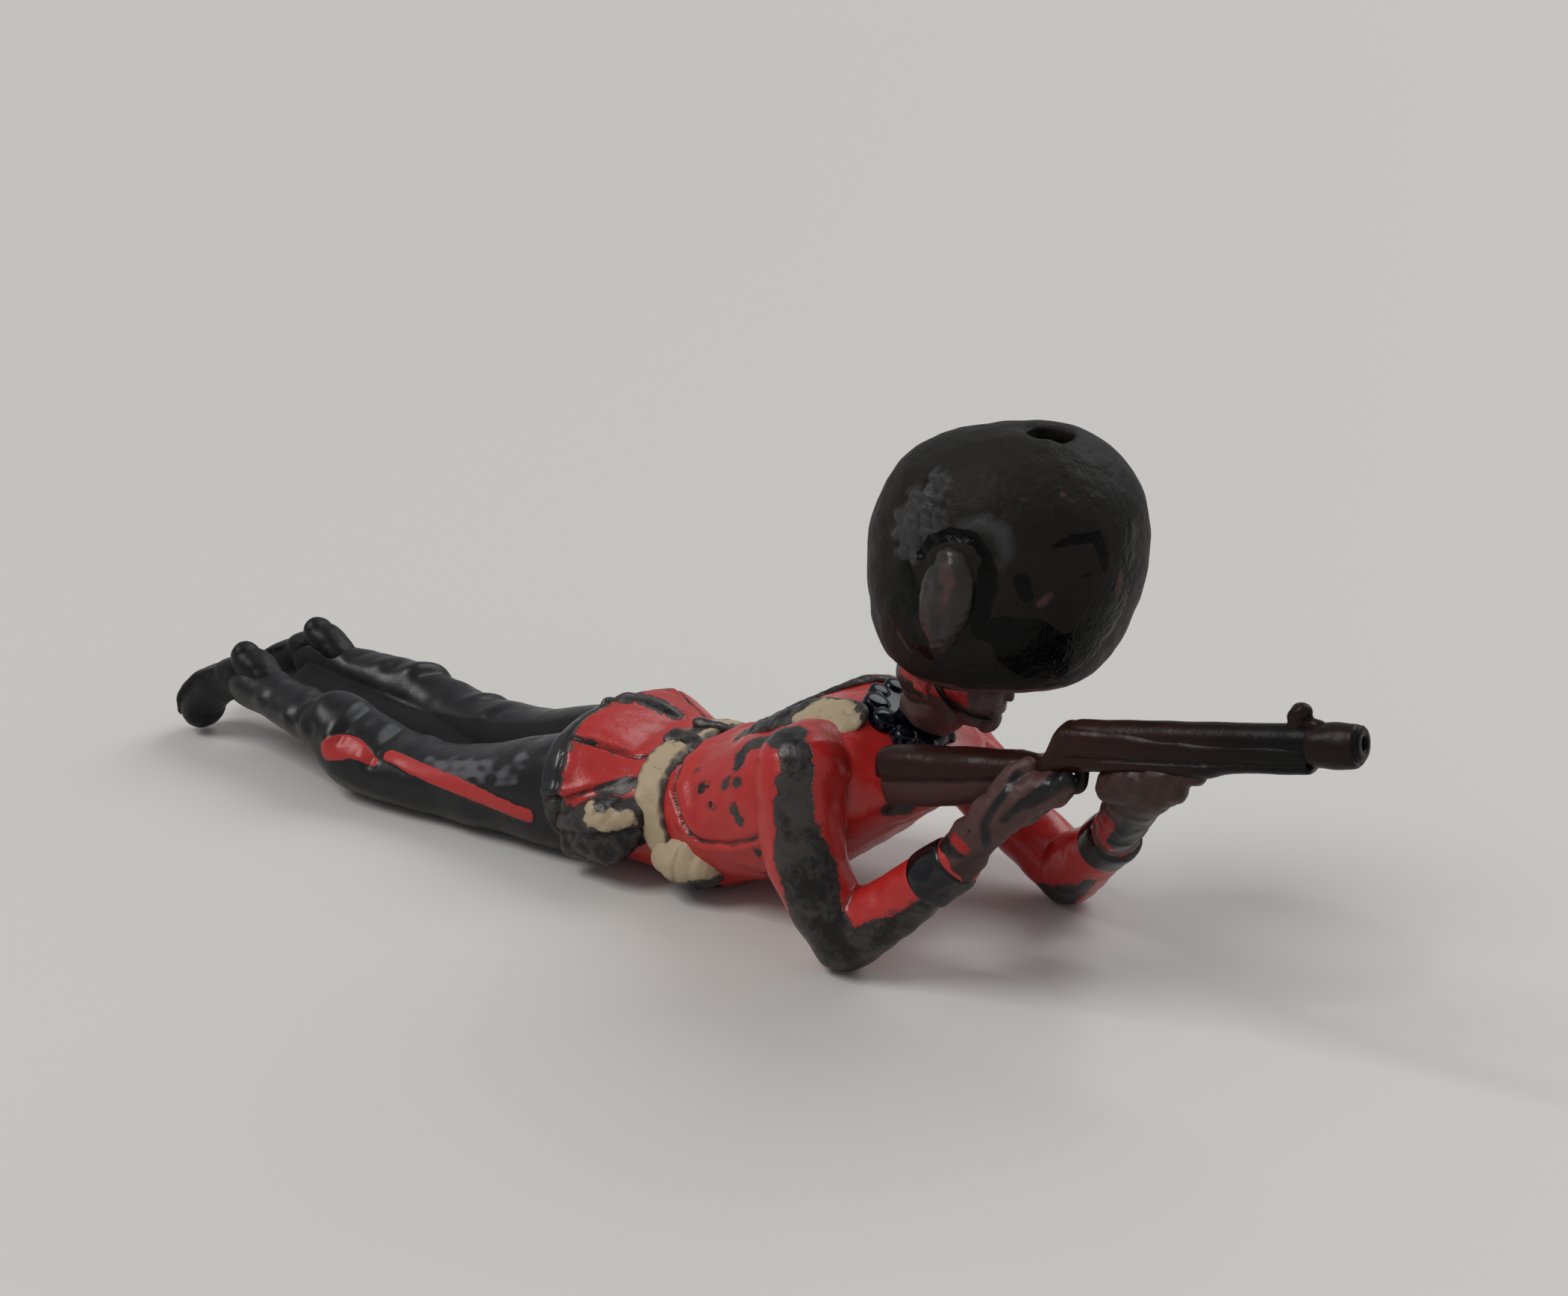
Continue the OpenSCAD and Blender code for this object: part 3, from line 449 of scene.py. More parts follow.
waist_d = 6.6
waist_w = 10.6
tunic_l = 14
chest_w = 12.4
chest_d = 8.8
chest_rise = 4.4
belt_half = 0.95
belt_lean = 0.4
# Share of the length, of the width, depth and rise, and the squareness
tunic_shares = np.array([
    [-0.08, 0.86, 0.75, 0.00, 2.5],
    [0.00, 0.86, 0.75, 0.00, 2.5],
    [0.12, 0.91, 0.88, 0.12, 2.5],
    [0.22, 0.96, 0.94, 0.31, 2.5],
    [0.40, 1.00, 1.01, 0.58, 2.5],
    [0.56, 1.00, 1.01, 0.78, 2.5],
    [0.71, 0.97, 0.80, 0.96, 2.5],
    [0.84, 0.83, 0.50, 1.02, 2.4],
    [0.94, 0.58, 0.29, 1.05, 2.3],
    [1.00, 0.28, 0.12, 1.07, 2.2],
])
tunic_table = np.stack([
    belt_half + tunic_l * tunic_shares[:, 0],
    np.zeros(len(tunic_shares)),
    waist_d / 2 + chest_rise * tunic_shares[:, 3],
    chest_w / 2 * tunic_shares[:, 1],
    chest_d / 2 * tunic_shares[:, 2],
    tunic_shares[:, 4],
    belt_lean * (1 - np.clip(tunic_shares[:, 0] / 0.2, 0, 1)),
], -1)
right_shoulder = [9.5, -6.0, 8.93]
right_elbow = [12.8, -6.9, 1.75]
right_wrist = [18.12, -6.07, 6.61]
left_shoulder = [10.47, 5.64, 7.39]
left_elbow = [17.9, 5.8, 1.75]
left_wrist = [22.45, 1.41, 6.43]
cell = 0.115
points, faces = melt([
    trunk(tunic_table, 60, 96),
    limb([
        [*right_shoulder, 2.35, 2.35], [10.55, -7.15, 5.2, 1.85, 1.9], [*right_elbow, 1.72, 1.75],
    ], 24, 40, (1, 0, 0)),
    limb([
        [9.2, -4.6, 9.2, 2.0, 1.8], [9.5, -6.2, 8.9, 2.1, 2.1], [10.0, -6.9, 7.4, 1.9, 2.0],
    ], 14, 36, (1, 0, 0)),
    limb([
        [*right_elbow, 1.72, 1.72], [15.2, -6.5, 3.95, 1.48, 1.5], [*right_wrist, 1.2, 1.2],
    ], 24, 40),
    limb([
        [*left_shoulder, 2.1, 2.15], [14.0, 6.28, 3.95, 1.75, 1.7], [*left_elbow, 1.7, 1.72],
    ], 24, 40, (0, 1, 0)),
    limb([
        [*left_elbow, 1.7, 1.7], [19.95, 3.82, 3.86, 1.48, 1.5], [*left_wrist, 1.2, 1.2],
    ], 24, 40),
], cell, rounds=6)
x, y, z = points.T
# The tunic overhangs the waist at a groove, and a seam runs from there to the right arm
ahead_of_groove = x - (6.8 - 1.05 * z)
on_trunk = np.clip((10 - x) / 2, 0, 1) * np.clip(7.0 - np.abs(y), 0, 1) * np.clip((z - 3.9) / 0.6, 0, 1)
relief = on_trunk * (0.24 * bump_of(ahead_of_groove - 0.9, 0.8) - 0.34 * bump_of(ahead_of_groove, 0.22))
side_seam = [
    [1.9, -5.4, 4.6, 0], [2.4, -5.55, 4.25, 0], [3.4, -5.8, 3.9, 0], [5.2, -6.0, 4.15, 0],
    [6.9, -6.1, 5.0, 0], [8.0, -6.2, 5.8, 0],
]
relief -= 0.18 * bump_of(within(points, side_seam), 0.15)
under_seam = [[a, b, c - 0.30, 0] for a, b, c, _ in side_seam]
relief += 0.10 * bump_of(within(points, under_seam), 0.22)
relief += 0.07 * lumps(points, 3.5, 1) + 0.035 * lumps(points, 1.3, 2)
points = emboss(points, faces, relief)

# Bare metal: a hook on the shoulder, a band down the right arm, the left elbow, and chips
shoulder_hook = [
    [5.15, -5.0, 8.15, 0.42], [4.9, -4.5, 8.5, 0.45], [5.2, -4.0, 8.9, 0.48], [6.2, -4.3, 9.6, 0.45],
    [7.7, -5.9, 10.4, 0.55], [9.2, -6.9, 11.0, 0.75],
]
arm_band = [
    [9.3, -6.2, 11.3, 0.60], [9.6, -7.1, 11.0, 0.75], [10.4, -7.6, 10.5, 0.80], [10.6, -8.1, 9.2, 0.80],
    [10.8, -8.4, 7.7, 0.95], [11.2, -8.6, 6.3, 1.30], [11.7, -8.6, 5.2, 1.40], [12.0, -8.7, 3.8, 1.35],
    [12.3, -8.6, 2.2, 1.8], [13.2, -8.2, 1.2, 1.8], [14.5, -7.9, 1.6, 1.6], [15.9, -7.5, 2.8, 1.2],
    [17.3, -7.1, 4.2, 0.95],
]
left_wear = [[17.6, 4.6, 0.4, 1.1], [19.6, 3.4, 1.8, 0.6], [20.6, 2.6, 2.9, 0.35]]
chips = [
    [1.9, -3.9, 6.6, 0.22], [2.9, -5.0, 6.3, 0.34], [4.0, -5.8, 6.0, 0.32], [4.7, -5.5, 7.2, 0.32],
    [5.5, -5.7, 7.5, 0.24], [5.6, -6.1, 6.1, 0.34], [5.9, -6.2, 5.7, 0.30], [3.3, -5.3, 6.7, 0.18],
    [14.0, -3.7, 7.4, 0.48], [13.4, -4.3, 7.4, 0.45], [7.1, -5.9, 4.3, 0.26], [6.7, -4.9, 2.7, 0.2],
]
bare = within_any(points, [shoulder_hook, arm_band, left_wear])
bare = np.maximum(bare, within_any(points, [[chip] for chip in chips]) - 0.02)
# Dark red is painted in the groove under the overhang and along the side seam: painted shade in the creases.
groove_shade = np.where(on_trunk > 0, 0.13 - np.abs(ahead_of_groove), -5)
painted_shade = np.maximum(groove_shade, 0.07 + within(points, side_seam))
# The dark red last coat is painted shade, in the tunic's groove and seam and in the skirt's lower folds.
scarlet = enamel(
    "scarlet_enamel", (0.42, 0.018, 0.015), (0.26, 0.010, 0.009), 0.30,
    others=(("trouser", (0.008, 0.008, 0.010), 0.28, 22), ("painted_shade", (0.030, 0.008, 0.007), 0.4, 9)),
    fleck=0.80, rag=0.22, wear=0.25,
)
piece(
    "tunic", (points, faces), scarlet,
    ["tunic_body", "right_upper_arm", "left_upper_arm", "right_forearm", "left_forearm"],
    {"bare": bare, "painted_shade": painted_shade},
)


# Skirt
# Below the belt the tunic flares into a pleated skirt, which hangs over the seat of the
# trousers. Its hem is rubbed to the metal, and dark lumps of cast hair stand at the back.
skirt_l = 5.7
hem_w = 12.6
seat_d = 7.7
hem_lean = 0.3
# Share of the length, of the width, depth and rise, the squareness and the lean
skirt_shares = np.array([
    [-0.22, 0.84, 0.857, 0.857, 2.5, belt_lean],
    [0.00, 0.84, 0.857, 0.857, 2.5, belt_lean],
    [0.20, 0.88, 0.85, 0.85, 2.4, 0.3],
    [0.45, 0.93, 0.91, 0.91, 2.4, 0.2],
    [0.70, 0.98, 0.99, 0.99, 2.4, 0.22],
    [0.90, 1.00, 0.95, 0.95, 2.4, 0.27],
    [0.985, 1.00, 0.90, 0.90, 2.4, hem_lean],
    [1.00, 0.97, 0.86, 0.90, 2.4, hem_lean],
])
skirt_table = np.stack([
    -belt_half - skirt_l * skirt_shares[:, 0],
    np.zeros(len(skirt_shares)),
    seat_d / 2 * skirt_shares[:, 3],
    hem_w / 2 * skirt_shares[:, 1],
    seat_d / 2 * skirt_shares[:, 2],
    skirt_shares[:, 4],
    skirt_shares[:, 5],
], -1)
boss = [[-6.9, -0.4, 7.30, 0.45], [-6.0, 0.8, 7.25, 0.55], [-4.8, 1.4, 6.95, 0.5], [-4.0, 1.7, 6.6, 0.4]]
points, faces = melt([
    trunk(skirt_table, 50, 96),
    limb([[*row, row[3]] for row in boss], 16, 20),
], cell, rounds=3)
pleats = [
    [[-6.4, -4.5, 6.9, 0], [-4.5, -3.9, 6.6, 0], [-2.9, -3.2, 6.2, 0], [-1.5, -2.6, 6.1, 0]],
    [[-6.6, -6.2, 4.0, 0], [-5.1, -6.3, 4.25, 0], [-3.5, -5.6, 5.0, 0], [-2.1, -4.4, 5.75, 0]],
]
pleats += [[[a, -b, c, 0] for a, b, c, _ in pleat] for pleat in pleats]
relief = 0.05 * lumps(points, 2.6, 3) + 0.02 * lumps(points, 1.0, 4)
for pleat in pleats:
    fold = within(points, pleat)
    above_fold = within(points, [[a, b, c + 0.35, 0] for a, b, c, _ in pleat])
    relief += 0.17 * bump_of(above_fold, 0.32) - 0.22 * bump_of(fold, 0.15)
# The hem hangs ahead of the seat, which is painted black like the legs
hem_line = np.interp(points[:, 2], [0, 4.4, 6.0, 7.4], [-5.3, -5.55, -5.85, -6.7])
behind_hem = hem_line - points[:, 0]
relief += 0.10 * bump_of(behind_hem + 0.3, 0.3) - 0.16 * bump_of(behind_hem - 0.1, 0.16)
points = emboss(points, faces, relief)
behind_hem = hem_line - points[:, 0]
hip_wear = [[-3.3, -5.6, 4.9, 0.30], [-2.6, -5.0, 5.25, 0.50], [-1.9, -4.5, 5.45, 0.35]]
under_wear = [[-5.6, -6.2, 3.2, 1.0], [-4.6, -6.4, 1.8, 1.6], [-3.2, -6.3, 1.2, 1.2], [-2.4, -6.0, 0.8, 0.8]]
boss_wear = [[a, b, c + 0.25, r + 0.15] for a, b, c, r in boss]
fold_wear = [[[a, b, c, 0.12] for a, b, c, _ in pleats[n]] for n in (0, 2)]
worn = within_any(points, [boss_wear, hip_wear, under_wear, *fold_wear])
# The two lower folds are painted dark red: painted shade in the creases.
painted_shade = 0.10 + within_any(points, [pleats[1], pleats[3]])
piece(
    "skirt", (points, faces), scarlet, ["tunic_skirt"],
    {"bare": np.maximum(0.24 - np.abs(behind_hem + 0.10), worn), "trouser": behind_hem, "painted_shade": painted_shade},
)


# Belt
# A buff leather belt is modelled round the waist of the casting and painted cream. It leans
# back over the hips, and both of its edges are painted darker, as painted shade where it meets the tunic and
# the skirt.
# The dark brown last coat is painted shade along the belt's edges.
cream = enamel(
    "cream_enamel", (0.40, 0.31, 0.195), (0.26, 0.19, 0.115), 0.55,
    others=(("painted_shade", (0.050, 0.034, 0.024), 0.5, 4),),
    fleck=0.69, rag=0.22, wear=0.35, grain=0.020,
)
belt_proud = 0.32
belt_back = -0.70
belt_front = 1.10
# Share of the belt's width, and of how proud it stands of the waist
belt_shares = np.array([
    [-0.04, -0.6], [0.0, 0.4], [0.07, 0.92], [0.2, 1.0], [0.8, 1.0], [0.93, 0.92], [1.0, 0.4],
    [1.04, -0.6],
])
belt_rows = len(belt_shares)
belt_table = np.stack([
    belt_back + (belt_front - belt_back) * belt_shares[:, 0],
    np.zeros(belt_rows),
    np.full(belt_rows, waist_d / 2),
    waist_w / 2 + belt_proud * belt_shares[:, 1],
    waist_d / 2 + belt_proud * belt_shares[:, 1],
    np.full(belt_rows, 2.5),
    np.full(belt_rows, belt_lean),
], -1)
points, faces = trunk(belt_table, 40, 220)
points = emboss(points, faces, 0.05 * lumps(points, 1.6, 5) + 0.02 * lumps(points, 0.6, 6))
across_belt = points[:, 0] + belt_lean * (points[:, 2] - waist_d / 2)
from_edge = np.minimum(across_belt - belt_back, belt_front - across_belt)
belt_wear = [[-1.2, -1.6, 6.8, 0.25], [-1.5, -0.2, 7.0, 0.35], [-1.3, 1.0, 7.0, 0.4]]
bare = np.maximum(within(points, belt_wear), 0.45 - points[:, 2])
# Both edges of the belt are darkened: painted shade where it meets the tunic and the skirt.
piece(
    "belt", (points, faces), cream, ["waist_belt"],
    {"bare": bare, "painted_shade": 0.22 - from_edge + 0.10 * lumps(points, 0.8, 37)},
)


# Pouches
# Two ammunition pouches lie ahead of the belt, low on the flanks. They are plump, cream above
# and rubbed to the metal towards the table.
pouch_at = np.array([1.84, 4.8, 2.03])
pouch_l = 3.1
pouch_w = 3.0
for side, side_name in ((-1, "right"), (1, "left")):
    middle = pouch_at * [1, side, 1]
    rows = [
        [*(middle + [share * pouch_l / 2, 0, 0]), pouch_w / 2 * width, pouch_w * 0.45 * width]
        for share, width in ((-0.62, 0.80), (-0.3, 0.96), (0.3, 0.96), (0.62, 0.80))
    ]
    points, faces = melt([limb(rows, 14, 48, (0, -side * 0.57, 0.82), 2.8)], cell * 0.7, rounds=3)
    flap = bump_of(points[:, 0] - middle[0] - 0.1, 0.12) * (points[:, 2] > middle[2] - 0.6)
    relief = 0.07 * lumps(points, 1.4, 7) - 0.08 * flap
    points = emboss(points, faces, relief)
    bare = 1.45 - points[:, 2] + 0.20 * (points[:, 0] - middle[0])
    piece(f"{side_name}_pouch", (points, faces), cream, [f"{side_name}_pouch"], {"bare": bare})


# Braces
# Two straps rise from the belt behind, climb the back and pass over the shoulders. The cream is
# left only on the shoulders, and the rest is dark metal.
shoulder_end = 10.3
fine_cell = 0.085
for side, side_name in ((-1, "right"), (1, "left")):
    x = np.linspace(belt_back - 1.2, shoulder_end, 10)
    rows = smooth_rows(tunic_table, np.linspace(0, 1, 200))
    rise, wide, deep = (np.interp(x, rows[:, 0], rows[:, n]) for n in (2, 3, 4))
    y = np.interp(x, [-2, shoulder_end], [1.2, 3.05])
    z = rise + deep * (1 - (y / wide) ** 2.5) ** 0.4
    z = np.where(x < 0.7, z + 0.24, z - 0.02)
    half = np.interp(x, [-2, 6, 8, 10], [0.62, 0.75, 1.15, 1.20])
    table = np.stack([x, side * y, z, half, np.full(10, 0.30)], -1)
    points, faces = melt([limb(table, 40, 32, (-0.30, side * 0.38, 0.9), 3.0)], fine_cell, rounds=2)
    points = emboss(points, faces, 0.04 * lumps(points, 1.2, 8) + 0.02 * lumps(points, 0.5, 9))
    cream_end = [
        [7.3, side * 3.2, 10.7, 0.45], [8.4, side * 3.0, 11.0, 1.0], [9.4, side * 3.2, 11.2, 1.15],
        [10.3, side * 3.7, 11.0, 0.9],
    ]
    piece(
        f"{side_name}_brace", (points, faces), cream, [f"{side_name}_brace"],
        {"bare": -within(points, cream_end)},
    )


# Haversack
# A small bag hangs on the right hip. Most of its paint has gone, and the cream is left in a
# patch near the belt.
points, faces = melt([
    limb([
        [-4.7, -5.50, 2.35, 1.15, 1.30], [-3.8, -5.50, 2.60, 1.38, 1.65],
        [-2.5, -5.45, 3.05, 1.45, 1.80], [-1.6, -5.25, 3.45, 1.25, 1.30],
    ], 24, 56, (0, 0, 1), 3.0),
], cell=0.09, rounds=4)
flap_edge = points[:, 2] - 3.05 - 0.22 * (points[:, 0] + 3)
relief = 0.09 * lumps(points, 2.0, 10) + 0.04 * lumps(points, 0.8, 11)
relief += 0.08 * np.clip(flap_edge / 0.15, 0, 1) - 0.09 * bump_of(flap_edge, 0.12)
points = emboss(points, faces, relief)
cream_patch = [
    [-3.1, -6.7, 4.55, 0.32], [-2.8, -6.95, 3.95, 0.45], [-2.1, -6.9, 3.85, 0.52], [-1.4, -6.5, 4.1, 0.55],
    [-1.0, -6.0, 4.1, 0.4],
]
piece(
    "haversack", (points, faces), cream, ["haversack"],
    {"bare": -within(points, cream_patch)},
)


# Cuffs
# Each sleeve ends in a turned cuff, cast with the arm and painted gloss black over the
# scarlet. Some of the black has worn off on the outer side.
black = enamel(
    "black_enamel", (0.0045, 0.0045, 0.006), (0.007, 0.007, 0.0085), 0.17,
    fleck=0.88, rag=0.18, wear=0.15, grain=0.004, specular=0.4,
)
cuff_l = 2.0
cuffs = {
    "right": (right_wrist, right_elbow, [[17.6, -7.3, 4.5, 0.55], [18.8, -7.0, 5.6, 0.6]]),
    "left": (left_wrist, left_elbow, [[22.2, 2.6, 4.6, 0.6], [23.2, 1.6, 5.7, 0.6]]),
}
for side_name, (wrist, elbow, worn) in cuffs.items():
    wrist, elbow = np.array(wrist), np.array(elbow)
    way = (wrist - elbow) / np.linalg.norm(wrist - elbow)
    share = np.array([-1.0, -0.94, -0.8, -0.4, -0.1, 0.02, 0.06])
    swell = np.array([1.22, 1.37, 1.43, 1.40, 1.36, 1.28, 1.05])
    rows = np.concatenate([wrist + cuff_l * share[:, None] * way, swell[:, None], swell[:, None]], 1)
    rows[0, 3:] = rows[1, 3:] * 0.9
    points, faces = melt([limb(rows, 24, 40)], fine_cell, rounds=2)
    beyond = (points - wrist) @ way
    # Both ends are cut flat
    points -= np.minimum(beyond + cuff_l * 1.04, 0)[:, None] * way
    points -= np.maximum(beyond - cuff_l * 0.06, 0)[:, None] * way
    points = emboss(points, faces, 0.04 * lumps(points, 1.5, 12))
    piece(
        f"{side_name}_cuff", (points, faces), black, [f"{side_name}_cuff"],
        {"bare": within(points, worn)},
    )


# Trousers
# Both legs lie flat behind the skirt and rise from the knees to the ankles. They are painted
# black, and a red stripe runs down the outer seam of each leg and breaks at the knee.
# Rows give the middle, half the width, half the depth, the squareness and the lean
leg_table = np.array([
    [-4.90, 3.00, 3.30, 2.80, 3.00, 2.2, 0.30], [-6.65, 3.04, 3.19, 2.95, 3.15, 2.2, 0.30],
    [-9.85, 3.12, 2.71, 2.95, 2.71, 2.2, 0.27], [-14.33, 3.30, 2.05, 2.77, 2.05, 2.2, 0.24],
    [-18.81, 3.66, 1.85, 2.64, 1.85, 2.1, 0.27], [-21.69, 3.95, 2.35, 2.57, 2.35, 2.1, 0.30],
    [-23.61, 3.96, 2.91, 2.41, 2.63, 2.1, 0.30], [-25.85, 3.68, 3.29, 1.90, 1.44, 2.1, 0.18],
    [-29.05, 3.20, 3.70, 1.75, 1.28, 2.1, 0.06], [-32.25, 2.88, 4.00, 1.50, 1.28, 2.1, 0.00],
    [-33.30, 2.86, 4.00, 1.15, 1.00, 2.1, 0.00],
])
leg_hem_x = -6.65
knee_x = -23.61
left_knee_back = 1.44
left_knee_share = 0.86
# The inner sides of the legs swell until they meet
inner_side = [
    [-14.5, 1.50, 1.1, 1.20, 1.10], [-19.0, 1.45, 1.2, 1.35, 1.15], [-25.0, 1.35, 1.8, 1.40, 1.30],
    [-29.0, 1.20, 2.7, 1.30, 0.95], [-31.6, 1.10, 3.4, 1.15, 0.75],
]
knee_folds = [
    ([-25.5, 2.2, 5.1], [-24.9, 5.9, 3.9], 0.26), ([-23.0, 2.0, 5.6], [-22.6, 6.2, 3.9], 0.22),
    ([-20.9, 2.0, 4.6], [-20.3, 6.0, 3.0], 0.20), ([-27.6, 2.2, 4.9], [-27.0, 5.2, 3.9], 0.16),
    ([-18.6, 2.2, 3.6], [-18.0, 5.2, 2.8], 0.12), ([-30.4, 2.0, 5.2], [-29.8, 4.6, 4.2], 0.12),
]
outer_stripe = [
    [-7.9, -6.0, 2.60, 0.38], [-10.4, -6.05, 2.82, 0.42], [-13.3, -5.85, 3.03, 0.44],
    [-16.4, -5.5, 3.08, 0.42], [-18.7, -5.3, 3.28, 0.36],
]
knee_lobes = [
    [-19.3, -5.85, 2.95, 0.26], [-20.0, -5.85, 3.2, 0.40], [-20.9, -5.9, 3.5, 0.60],
    [-21.6, -6.1, 3.45, 0.78], [-22.3, -6.3, 3.2, 0.62],
]
trouser_black = enamel(
    "trouser_enamel", (0.0040, 0.0040, 0.0050), (0.0080, 0.0080, 0.0100), 0.36,
    others=(
        # The grey first coat is a painted highlight, a soft sheen on the thighs.
        ("painted_sheen", (0.090, 0.090, 0.098), 0.32, 2.0), ("stripe", (0.40, 0.026, 0.023), 0.34, 22),
        # The dull coat, darker than the black, is painted shade between the legs.
        ("dull", (0.0020, 0.0020, 0.0024), 0.80, 3),
    ),
    fleck=0.90, rag=0.20, wear=0.12, grain=0.006, specular=0.36,
)
legs = []
for side in (-1, 1):
    rows = leg_table * [1, side, 1, 1, 1, 1, 1]
    if side > 0:
        to_knee = np.abs((leg_hem_x - rows[:, 0]) / (leg_hem_x - knee_x) - 1)
        rows[:, 0] -= left_knee_back * np.clip(1 - to_knee, 0, 1)
        rows[5:7, 2:5] *= left_knee_share
    legs.append(trunk(rows, 90, 64))
swellings = [limb(np.array(inner_side) * [1, side, 1, 1, 1], 40, 40) for side in (-1, 1)]
points, faces = melt([*legs, *swellings], cell=0.13, rounds=3)
# Folds at the knees, which lie alike on both legs
folded = points * [1, 0, 1] + np.abs(points[:, 1:2]) * [0, 1, 0]
relief = 0.06 * lumps(points, 3.0, 13) + 0.010 * lumps(points, 1.3, 14)
for start, end, height in knee_folds:
    fold = within(folded, [[*start, 0], [*end, 0]])
    valley = within(folded, [[start[0] + 0.8, *start[1:], 0], [end[0] + 0.8, *end[1:], 0]])
    relief += height * bump_of(fold, 0.55) - 0.8 * height * bump_of(valley, 0.32)
left_stripe = [[x - 0.6, 0.05 - y, z - 0.45, r] for x, y, z, r in outer_stripe]
stripe = within_any(points, [outer_stripe, knee_lobes, left_stripe])
relief += 0.08 * np.clip(stripe / 0.12 + 0.5, 0, 1)
points = emboss(points, faces, relief)
# A grey sheen, patchy all over and strongest on the right thigh and hip, is a painted highlight.
sheen_places = [
    [[-16.1, -4.9, 3.5, 0.2], [-14.6, -5.1, 3.7, 0.5], [-12.6, -5.3, 3.95, 0.8], [-11.4, -5.3, 4.3, 0.6]],
    [[-9.7, -5.65, 4.2, 0.5], [-9.1, -5.0, 5.2, 0.35]],
]
painted_sheen = np.minimum(within_any(points, sheen_places), 0.4) * 0.9
painted_sheen += 0.30 * lumps(points * [0.5, 1, 1], 0.6, 15) - 0.10
# Between the legs the black is painted darker and duller: painted shade.
shade_between_legs = 1.9 - np.abs(points[:, 1])
piece(
    "trousers", (points, faces), trouser_black,
    ["right_thigh", "left_thigh", "right_shin", "left_shin"],
    {"stripe": stripe, "painted_sheen": painted_sheen, "dull": shade_between_legs, "bare": np.full(len(points), -0.6)},
)


# Boots
# The boots stand on their toes, with a heel and a thin sole. They are painted black, duller
# than the cuffs.
boot_black = enamel(
    "boot_enamel", (0.0042, 0.0042, 0.0050), (0.0075, 0.0075, 0.0090), 0.44,
    fleck=0.90, rag=0.20, wear=0.12, grain=0.012, specular=0.22,
)
toe_end = -38.65
# The ankle, the foot, the heel, the arch and the sole
boot_forms = (
    ([-31.4, 2.92, 4.0, 1.25, 1.15], [-33.6, 2.88, 4.2, 1.15, 1.15], [-35.3, 2.82, 3.55, 1.2, 1.15]),
    (
        [-33.9, 2.88, 4.0, 1.15, 1.0], [-35.6, 2.82, 3.3, 1.3, 1.15], [-36.9, 2.8, 2.2, 1.42, 1.1],
        [-37.2, 2.8, 1.5, 1.40, 1.05],
    ),
    (
        [-31.0, 2.92, 4.6, 1.1, 0.9], [-31.9, 2.90, 5.2, 1.1, 0.95], [-32.6, 2.90, 5.6, 1.0, 0.85],
        [-32.8, 2.90, 5.85, 0.9, 0.75],
    ),
    ([-33.2, 2.90, 4.9, 1.1, 0.8], [-34.2, 2.88, 4.7, 1.1, 0.7]),
    (
        [-34.6, 2.86, 4.75, 1.0, 0.30], [-36.3, 2.82, 4.05, 1.30, 0.32],
        [-37.7, 2.8, 2.7, 1.42, 0.32], [-38.2, 2.8, 1.6, 1.2, 0.30],
    ),
)
for side, side_name in ((-1, "right"), (1, "left")):
    forms = [
        limb(np.array(rows) * [1, side, 1, 1, 1], 20, 40, (-0.6, 0, 0.8), 2.3) for rows in boot_forms
    ]
    points, faces = melt(forms, cell=0.1, rounds=3)
    points = emboss(points, faces, 0.04 * lumps(points, 1.8, 16) + 0.008 * lumps(points, 0.7, 17))
    points[:, 0] = np.maximum(points[:, 0], toe_end)
    piece(
        f"{side_name}_boot", (points, faces), boot_black, [f"{side_name}_boot"],
        {"bare": within(points, [[-37.6, side * 2.8, 0.8, 0.9]])},
    )


# Rifle
# The stock is one casting with the hands. Its comb is glossy brown, and the butt below it dull
# and worn. A round barrel with a nose cap and a blade sight lies in the fore end.
rifle_foot = np.array([12.99, -4.8, 12.3])
rifle_pitch = np.radians(10.8)
rifle_l = 23.4
butt_h = 2.6
stock_t = 1.8
barrel_d = 1.5
barrel_l = 13.1
forward = np.array([np.cos(rifle_pitch), 0, np.sin(rifle_pitch)])
raised = np.array([-np.sin(rifle_pitch), 0, np.cos(rifle_pitch)])


def on_rifle(along, up, left):
    """A place by its distance from the butt, its height above the barrel's top and to the left."""
    along, up, left = (np.asarray(v, float)[..., None] for v in (along, up, left))
    return rifle_foot + along * forward + up * raised + left * np.array([0, 1, 0])


# Share of the length, of the butt's height for the middle and half the height, of half the
# thickness, and the squareness
stock_shares = np.array([
    [0.000, -1.15, 0.44, 0.60, 3.0],
    [0.006, -1.15, 0.50, 0.86, 3.2],
    [0.030, -1.15, 0.52, 0.94, 3.2],
    [0.120, -1.14, 0.50, 1.00, 3.0],
    [0.230, -1.10, 0.45, 1.00, 2.8],
    [0.310, -1.00, 0.34, 0.92, 2.6],
    [0.370, -0.86, 0.26, 0.90, 2.6],
    [0.410, -0.53, 0.42, 0.98, 3.0],
    [0.450, -0.46, 0.40, 1.00, 3.2],
    [0.600, -0.50, 0.36, 1.02, 3.0],
    [0.700, -0.56, 0.34, 1.02, 2.8],
    [0.760, -0.50, 0.29, 0.96, 2.8],
    [0.905, -0.50, 0.25, 0.92, 2.8],
])
rows = smooth_rows(stock_shares, np.linspace(0, 1, 150))
p, q = oval(stock_t / 2 * rows[:, 3], butt_h * rows[:, 2], rows[:, 4], sides=56)
rings = on_rifle(np.broadcast_to(rifle_l * rows[:, :1], p.shape), butt_h * rows[:, 1, None] + q, p)
points, faces = melt([skin(rings)], cell=0.095, rounds=2)
along = (points - rifle_foot) @ forward
up = (points - rifle_foot) @ raised
